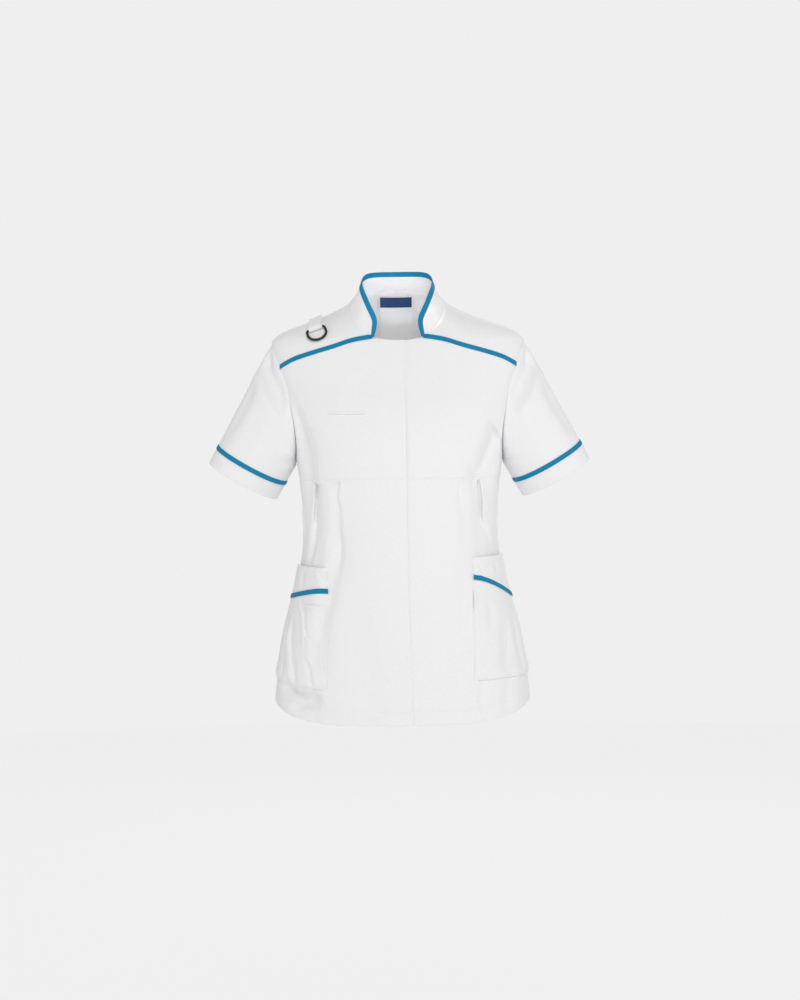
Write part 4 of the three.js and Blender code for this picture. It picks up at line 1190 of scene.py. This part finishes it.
def sleeve_parts(side):
    """Sleeve, hem band and tape of one side, with their rows of stitches."""
    upper = Sleeve(f"sleeve_{side}")
    band = Sleeve(f"sleeve_hem_band_{side}")
    tape = Sleeve(f"sleeve_piping_{side}")
    length = upper.v[-1]
    upper.lift(
        upper.folds(SLEEVE_CREASES, 0) * ease(upper.from_edge("top") / SLEEVE_HOLD)
        + seam_roll(upper, ("top",), SLEEVE_ROLL)
        + seam_roll(upper, ("bottom",), (0.6, 2.2))
        + pucker(upper, "top", 0.5, 12)
        + pucker(upper, "bottom", 0.25)
    )
    upper.stretch("top", SLEEVE_REACH)
    band.lift(
        band.folds(SLEEVE_CREASES, length)
        + seam_roll(band, ("top",), (0.4, 2.2))
        + hem_ledge(band, band.v[-1] * BAND_HEM, sizes().hem_step)
        + pucker(band, "bottom", 0.2)
    )
    tape.lift(tape.folds(SLEEVE_CREASES, length - tape.v[-1] / 2) + crown(tape))
    sleeve = shell(f"sleeve_{side}_cloth", upper, sizes().cloth, twill())
    hem = shell(f"sleeve_hem_band_{side}_cloth", band, sizes().cloth * BAND_LAYERS, twill())
    trim = tape_piece(tape)
    declare(sleeve, upper)
    declare(hem, band, with_pieces=[trim])
    sew(f"sleeve_{side}_stitches", [band.along("bottom", band.v[-1] * BAND_ROW)], white_thread())
    sew(f"sleeve_piping_{side}_stitches", tape_rows(tape), tape_thread())


class TUNIC_OT_sleeves(bpy.types.Operator):
    """Sleeves, their hem bands and the tape round them"""

    bl_idname = "tunic.sleeves"
    bl_label = "Sleeves"

    def execute(self, context):
        for side in SIDES:
            sleeve_parts(side)
        return {"FINISHED"}


# ----------------------------------------------------------------------------------------------
# Collar
# ----------------------------------------------------------------------------------------------
COLLAR_WAVE = 0.35 * MM  # how far the collar waves in and out between its edges
COLLAR_DROP = 1.2  # how far the collar runs on down into its seam, in millimetres
COLLAR_END_DROP = 4.0  # and how much further at its two ends
COLLAR_END = 26.0 * MM  # length of those ends
COLLAR_INTO_BINDING = 9.0 * MM  # how far the collar's ends run on inside the binding
BINDING_DROP = 4.0 * MM  # how far the binding's ends run on to meet the yokes' tape
BINDING_THICKNESS = 2.2 * MM
COLLAR_LAYERS = 1.5  # how many thicknesses of cloth the pressed collar makes up


def stand_collar():
    """Stand collar, closed down to the yokes and the back."""
    collar = Cloth("collar", spacing=COLLAR_GRID)
    u, v = np.meshgrid(collar.u / collar.round, collar.v / collar.v[-1])
    wave = np.sin(u * 23) + 0.6 * np.sin(u * 41 + 1)
    collar.lift(COLLAR_WAVE * wave * np.sin(v * math.pi) + seam_roll(collar, ("top",)))
    seam = neck_seam()
    ends = np.minimum(collar.u, collar.round - collar.u)
    collar.stretch("bottom", (COLLAR_DROP + COLLAR_END_DROP * np.clip(1 - ends / COLLAR_END, 0, 1)) * MM)
    for end in ("left", "right"):
        collar.stretch(end, COLLAR_INTO_BINDING)
    soften_neck(collar, seam)
    return shell("collar_cloth", collar, sizes().cloth * COLLAR_LAYERS, twill()), collar


def collar_binding():
    """Folded tape over the collar's edge."""
    binding = Cloth("collar_binding", spacing=TRIM_GRID)
    binding.lift(crown(binding, 0.1) + TAPE_DROP * MM)
    for end in ("left", "right"):
        binding.stretch(end, BINDING_DROP)
    piece = shell("collar_binding_tape", binding, BINDING_THICKNESS, tape_cloth(), rounding=0.5)
    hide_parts(binding.node)
    return piece, binding


class TUNIC_OT_collar(bpy.types.Operator):
    """Stand collar and the folded tape that binds its edge"""

    bl_idname = "tunic.collar"
    bl_label = "Collar"

    def execute(self, context):
        collar, cloth = stand_collar()
        tape, binding = collar_binding()
        declare(collar, cloth, with_pieces=[tape])
        sew("collar_binding_stitches", [binding.along("bottom", 1.1 * MM, PANEL_ENDS)], tape_thread())
        return {"FINISHED"}


# ----------------------------------------------------------------------------------------------
# Pockets
# ----------------------------------------------------------------------------------------------
# Creases of each side's pockets, in degrees round the body and millimetres of height.
POCKET_CREASES = {
    "right": [
        Crease([(-67.5, -522), (-64.7, -563), (-60.9, -600), (-57, -634)], 5.5, -3.9, 0.5, (0.25, 0.1)),
        Crease([(-74, -540), (-71, -590), (-69, -630)], 6, -2.7, -0.4, (0.3, 0.1)),
        Crease([(-65.1, -500), (-57.8, -521), (-54.7, -546), (-52.6, -585)], 3.5, 2.4, -0.5, (0.1, 0.3)),
        Crease([(-54.5, -545), (-49.9, -559), (-44.5, -574)], 3.5, -2.7, 0.6, (0.15, 0.2)),
        Crease([(-51.8, -590), (-48.5, -609), (-46.3, -640)], 4, -2.8, -0.5, (0.2, 0.15)),
        Crease([(-44.6, -505), (-44, -530), (-43.4, -560)], 6, -2.5, 0.3, (0.15, 0.3)),
        Crease([(-49.5, -446), (-46.6, -460), (-43.5, -476)], 3.5, -2.1, 0.5, (0.15, 0.2)),
        Crease([(-46, -446), (-43.5, -458)], 2.6, 1.5, -0.4, (0.2, 0.2)),
        Crease([(-64.9, -448), (-62.5, -478)], 8, -1.8, 0.4, (0.2, 0.3)),
    ],
    "left": [
        Crease([(41.6, -482), (40.6, -500), (39.9, -520)], 3.5, 2.0, -0.5, (0.2, 0.3)),
        Crease([(50.6, -500), (49.6, -530), (48.8, -560)], 8, -2.1, 0.4, (0.3, 0.4)),
        Crease([(60.1, -530), (57.1, -582), (54.1, -620)], 10, -2.7, -0.4, (0.3, 0.1)),
        Crease([(72, -510), (69, -565), (69, -622)], 8, -2.4, -0.4, (0.3, 0.1)),
        Crease([(44.8, -437), (47, -448), (49.6, -462)], 3, -1.5, 0.5, (0.2, 0.2)),
        Crease([(61.2, -436), (63, -460)], 8, -1.8, 0.4, (0.2, 0.3)),
    ],
}


POCKET_SAG = 2.2 * MM  # how far an empty pocket bellies out above its lower seam
MOUTH_HEM = 20 * MM  # depth of the turned hem at a hip pocket's mouth
PEN_HEM = 9 * MM  # and at the pen pocket's mouth
PEN_ROW = 1.5 * MM  # the pen pocket's stitches lie this far in from its edges
POCKET_GRID = 2.6 * MM  # spacing of the points of a pocket
MOUTH_LAYERS = 1.4  # how many thicknesses of cloth a pressed pocket band makes up


def pressed_down(cloth, edges, drop=1.2, reach=4.0):
    """A patch pulled down to what it lies on, along its sewn edges."""
    height = np.zeros(cloth.points.shape[:2])
    for edge in edges:
        height = np.minimum(height, -drop * MM * np.exp(-((cloth.from_edge(edge) / (reach * MM)) ** 2)))
    return height


def drawn_in(cloth, edge):
    """A pocket mouth's inner end, which its upper corner holds close to the skirt."""
    return pressed_down(cloth, (edge,), 2.4, 7.0) * ease(cloth.from_edge("bottom") / cloth.v[-1])


def sagging(cloth, *sides):
    """An empty bag: it bellies out above its lower seam, and the stitches pucker its edges."""
    belly = POCKET_SAG * np.exp(-(((cloth.from_edge("bottom") - 14 * MM) / (13 * MM)) ** 2))
    for edge in sides:
        belly *= ease(cloth.from_edge(edge) / (16 * MM))
    return belly + pucker(cloth, "bottom", 0.3) + pucker(cloth, sides[0], 0.25, phase=1.0)


def pocket_piece(node, side, sewn_edges, thickness, shape=lambda cloth: 0):
    """A patch sewn on the front: it takes the front's folds, its own ones and its own shape."""
    cloth = Cloth(node, spacing=POCKET_GRID)
    height = body_folds(cloth, FRONT_CREASES + POCKET_CREASES[side]) + pressed_down(cloth, sewn_edges)
    cloth.lift(height + shape(cloth))
    return shell(f"{node}_cloth", cloth, thickness, twill()), cloth


def hip_pocket(side):
    """Hip pocket of one side: its band, its bag and the tape between them."""
    inner, outer = outside_edge(side, "left"), outside_edge(side, "right")
    sewn = (inner, outer, "bottom")
    double = sizes().cloth * MOUTH_LAYERS
    band, band_cloth = pocket_piece(
        f"hip_pocket_band_{side}", side, sewn, double, lambda cloth: drawn_in(cloth, inner)
    )
    bag, bag_cloth = pocket_piece(
        f"hip_pocket_{side}", side, sewn, sizes().cloth, lambda cloth: sagging(cloth, inner, outer)
    )
    tape = Cloth(f"hip_pocket_piping_{side}", spacing=TRIM_GRID)
    tape.lift(body_folds(tape, FRONT_CREASES + POCKET_CREASES[side]) + crown(tape))
    trim = tape_piece(tape)
    declare(band, band_cloth, with_pieces=[trim])
    declare(bag, bag_cloth)
    rows = [band_cloth.along(inner, PATCH_ROW, PATCH_ENDS), band_cloth.along("top", MOUTH_HEM, PANEL_ENDS)]
    rows += [bag_cloth.along(edge, PATCH_ROW, PATCH_ENDS) for edge in (inner, "bottom", outer)]
    sew(f"hip_pocket_{side}_stitches", rows, white_thread())
    sew(f"hip_pocket_piping_{side}_stitches", tape_rows(tape), tape_thread())


class TUNIC_OT_pockets(bpy.types.Operator):
    """Hip pockets and the pen pocket"""

    bl_idname = "tunic.pockets"
    bl_label = "Pockets"

    def execute(self, context):
        for side in SIDES:
            hip_pocket(side)
        sewn = ("left", "right", "bottom")
        pen, pen_cloth = pocket_piece("pen_pocket", "right", sewn, sizes().cloth)
        declare(pen, pen_cloth)
        rows = [pen_cloth.along(edge, PEN_ROW, PATCH_ENDS) for edge in sewn]
        rows += [pen_cloth.along("top", PEN_HEM, PATCH_ENDS)]
        sew("pen_pocket_stitches", rows, white_thread())
        return {"FINISHED"}


# ----------------------------------------------------------------------------------------------
# Neck label, D-ring and its tab
# ----------------------------------------------------------------------------------------------
LABELS = (
    ("neck_label_header", "label_header", header_cloth),
    ("neck_label", "label", label_cloth),
)
LABEL_THICKNESS = 0.5 * MM


class TUNIC_OT_neck_label(bpy.types.Operator):
    """Blank neck label inside the back: a dark header over a white size panel"""

    bl_idname = "tunic.neck_label"
    bl_label = "Neck label"

    def execute(self, context):
        for node, slot, finish in LABELS:
            cloth = Cloth(node, spacing=TRIM_GRID)
            piece = shell(f"{node}_cloth", cloth, LABEL_THICKNESS, finish())
            declare(piece, cloth, slot=slot)
        return {"FINISHED"}


def moulded_ring():
    """The ring's own solid, with its facets rounded off."""
    bpy.ops.object.select_all(action="DESELECT")
    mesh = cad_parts["d_ring"].data.copy()
    mesh.materials.clear()
    ring = finished("d_ring_moulding", mesh, moulded_acetal(), "d_ring")
    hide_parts("d_ring")
    ring.select_set(True)
    bpy.context.view_layer.objects.active = ring
    bpy.ops.object.mode_set(mode="EDIT")
    bpy.ops.mesh.select_all(action="SELECT")
    bpy.ops.mesh.remove_doubles(threshold=0.01 * MM)
    bpy.ops.mesh.tris_convert_to_quads()
    bpy.ops.object.mode_set(mode="OBJECT")
    smooth = ring.modifiers.new("smooth wire", "SUBSURF")
    smooth.levels = smooth.render_levels = 2
    bpy.ops.object.modifier_apply(modifier=smooth.name)
    bpy.ops.object.shade_smooth()


TAB_SEWN = 22.0 * MM  # height of the upper end of the tab that is sewn down to the yoke
TAB_SUNK = 2.0 * MM  # how far its stitches draw that end down
TAB_THICKNESS = 1.1 * MM


def ring_tab():
    """Fold of cloth round the ring's bar, sewn down to the yoke at its upper end."""
    tab = Cloth("d_ring_tab", spacing=1.5 * MM)
    below = tab.points[..., 2].max() - tab.points[..., 2]
    sewn_down = 1 - ease(below / TAB_SEWN)
    edges = pressed_down(tab, ("left", "right", "top", "bottom"), 0.3, 1.2)
    tab.lift(edges - TAB_SUNK * sewn_down)
    piece = shell("d_ring_tab_cloth", tab, TAB_THICKNESS, twill())
    declare(piece, tab)


class TUNIC_OT_d_ring(bpy.types.Operator):
    """Moulded D-ring and the fold of cloth that holds its bar"""

    bl_idname = "tunic.d_ring"
    bl_label = "D-ring"

    def execute(self, context):
        moulded_ring()
        ring_tab()
        return {"FINISHED"}


# ----------------------------------------------------------------------------------------------
# Studio
# ----------------------------------------------------------------------------------------------
EYE = (0.0, -3.2, -0.335)  # level with the middle of the chest, straight in front
VIEW_HEIGHT = 1.70  # height of the view in the plane of the shoulders
VIEW_ROLL = math.radians(-0.8)
FLOOR = -1.42  # the shoulders of a standing wearer are this far above it
FLOOR_RADIUS = 6.0
FLOOR_GLOW = 0.975  # the floor's tone comes from a glow, so that it is even to its edge
ROOM_LIGHT = 0.36  # strength of the light that comes from all round

# A soft lamp: where it stands and what it shines on, in metres, the width and height of its face,
# its power in watts, and how far its light opens, in degrees.
Lamp = namedtuple("Lamp", "name place aim width height power spread", defaults=(180,))
LAMPS = [
    Lamp("key", (0.25, -3.3, 1.9), (0, 0, -0.25), width=2.2, height=2.0, power=58),
    Lamp("low fill", (-0.2, -3.3, -1.1), (0, 0, -0.35), width=2.6, height=1.4, power=9),
    Lamp("neck fill", (0, -3.0, 0.1), (0, 0, 0.05), width=0.14, height=0.06, power=0.03, spread=4.5),
    Lamp("left side", (-3.0, -0.9, 0.3), (0, 0, -0.3), width=1.8, height=2.2, power=12),
    Lamp("right side", (3.0, -0.9, 0.3), (0, 0, -0.3), width=1.8, height=2.2, power=17),
    Lamp("back", (0.5, 3.4, 1.4), (0, 0, -0.3), width=2.4, height=2.4, power=82),
]


def softbox(lamp):
    """A flat lamp that faces its aim."""
    light = bpy.data.lights.new(lamp.name, "AREA")
    light.shape = "RECTANGLE"
    light.size = lamp.width
    light.size_y = lamp.height
    light.energy = lamp.power
    light.spread = math.radians(lamp.spread)
    stand = bpy.data.objects.new(lamp.name, light)
    stand.location = lamp.place
    stand.rotation_euler = (Vector(lamp.aim) - Vector(lamp.place)).to_track_quat("-Z", "Y").to_euler()
    bpy.context.scene.collection.objects.link(stand)


def studio_light():
    """Even light from all round, stronger from the front."""
    scene = bpy.context.scene
    scene.view_settings.view_transform = "Standard"
    world = bpy.data.worlds.new("studio")
    scene.world = world
    world.use_nodes = True
    tree = world.node_tree
    tree.nodes.clear()
    seen = add_node(tree, "ShaderNodeBackground", (0, 100), {"Color": list(colours().studio)})
    light = add_node(
        tree, "ShaderNodeBackground", (0, -100), {"Color": linear("#ffffff"), "Strength": ROOM_LIGHT}
    )
    path = add_node(tree, "ShaderNodeLightPath", (0, 300))
    mixed = add_node(tree, "ShaderNodeMixShader", (250, 0), {}, Fac=path.outputs["Is Camera Ray"])
    tree.links.new(light.outputs["Background"], mixed.inputs[1])
    tree.links.new(seen.outputs["Background"], mixed.inputs[2])
    add_node(tree, "ShaderNodeOutputWorld", (500, 0), {}, Surface=mixed.outputs["Shader"])
    for lamp in LAMPS:
        softbox(lamp)


def floor():
    """Plain pale floor."""
    bpy.ops.object.select_all(action="DESELECT")
    bpy.ops.mesh.primitive_circle_add(
        vertices=96, radius=FLOOR_RADIUS, fill_type="NGON", location=(0, 0, FLOOR)
    )
    ground = bpy.context.active_object
    ground.name = "floor"
    material, tree = new_material("painted floor, pale grey")
    shader = add_node(
        tree, "ShaderNodeBsdfPrincipled", (0, 0),
        {"Base Color": linear("#303030"), "Roughness": 0.9, "Specular IOR Level": 0.0,
         "Emission Color": list(colours().studio), "Emission Strength": FLOOR_GLOW},
    )
    add_node(tree, "ShaderNodeOutputMaterial", (300, 0), {}, Surface=shader.outputs["BSDF"])
    ground.data.materials.append(material)
    ground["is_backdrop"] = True


def camera():
    """Level camera in front of the chest, with a slight roll."""
    scene = bpy.context.scene
    lens = bpy.data.cameras.new("camera")
    lens.sensor_fit = "VERTICAL"
    lens.sensor_height = 24
    lens.lens = lens.sensor_height * abs(EYE[1]) / VIEW_HEIGHT
    eye = bpy.data.objects.new("camera", lens)
    level = Matrix.Rotation(math.radians(90), 4, "X") @ Matrix.Rotation(VIEW_ROLL, 4, "Z")
    eye.matrix_world = Matrix.Translation(EYE) @ level
    scene.collection.objects.link(eye)
    scene.camera = eye


class TUNIC_OT_studio(bpy.types.Operator):
    """Floor, soft light and camera"""

    bl_idname = "tunic.studio"
    bl_label = "Studio"

    def execute(self, context):
        studio_light()
        floor()
        camera()
        return {"FINISHED"}


STEPS = (
    TUNIC_OT_body,
    TUNIC_OT_sleeves,
    TUNIC_OT_collar,
    TUNIC_OT_pockets,
    TUNIC_OT_neck_label,
    TUNIC_OT_d_ring,
    TUNIC_OT_studio,
)


class TUNIC_PT_panel(bpy.types.Panel):
    """Sizes, colours and steps of the tunic"""

    bl_idname = "TUNIC_PT_panel"
    bl_label = "Maternity tunic"
    bl_space_type = "VIEW_3D"
    bl_region_type = "UI"
    bl_category = "Tunic"

    def draw(self, context):
        for group in (context.scene.tunic_sizes, context.scene.tunic_colours):
            box = self.layout.box()
            for key in group.__annotations__:
                box.prop(group, key)
        for step in STEPS:
            self.layout.operator(step.bl_idname)


CLASSES = (TunicSizes, TunicColours, *STEPS, TUNIC_PT_panel)


def register():
    """Makes the tunic's sizes, colours and steps known to Blender."""
    for cls in CLASSES:
        bpy.utils.register_class(cls)
    bpy.types.Scene.tunic_sizes = PointerProperty(type=TunicSizes)
    bpy.types.Scene.tunic_colours = PointerProperty(type=TunicColours)


def unregister():
    """Takes the tunic's sizes, colours and steps out of Blender."""
    del bpy.types.Scene.tunic_colours
    del bpy.types.Scene.tunic_sizes
    for cls in reversed(CLASSES):
        bpy.utils.unregister_class(cls)


def main():
    """Dresses the whole tunic."""
    register()
    for step in STEPS:
        group, name = step.bl_idname.split(".")
        getattr(getattr(bpy.ops, group), name)()
    boxes = {"cad": CAD_BOX, "visual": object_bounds()}
    plain = {key: [list(corner) for corner in box] for key, box in boxes.items()}


if __name__ == "__main__":
    main()
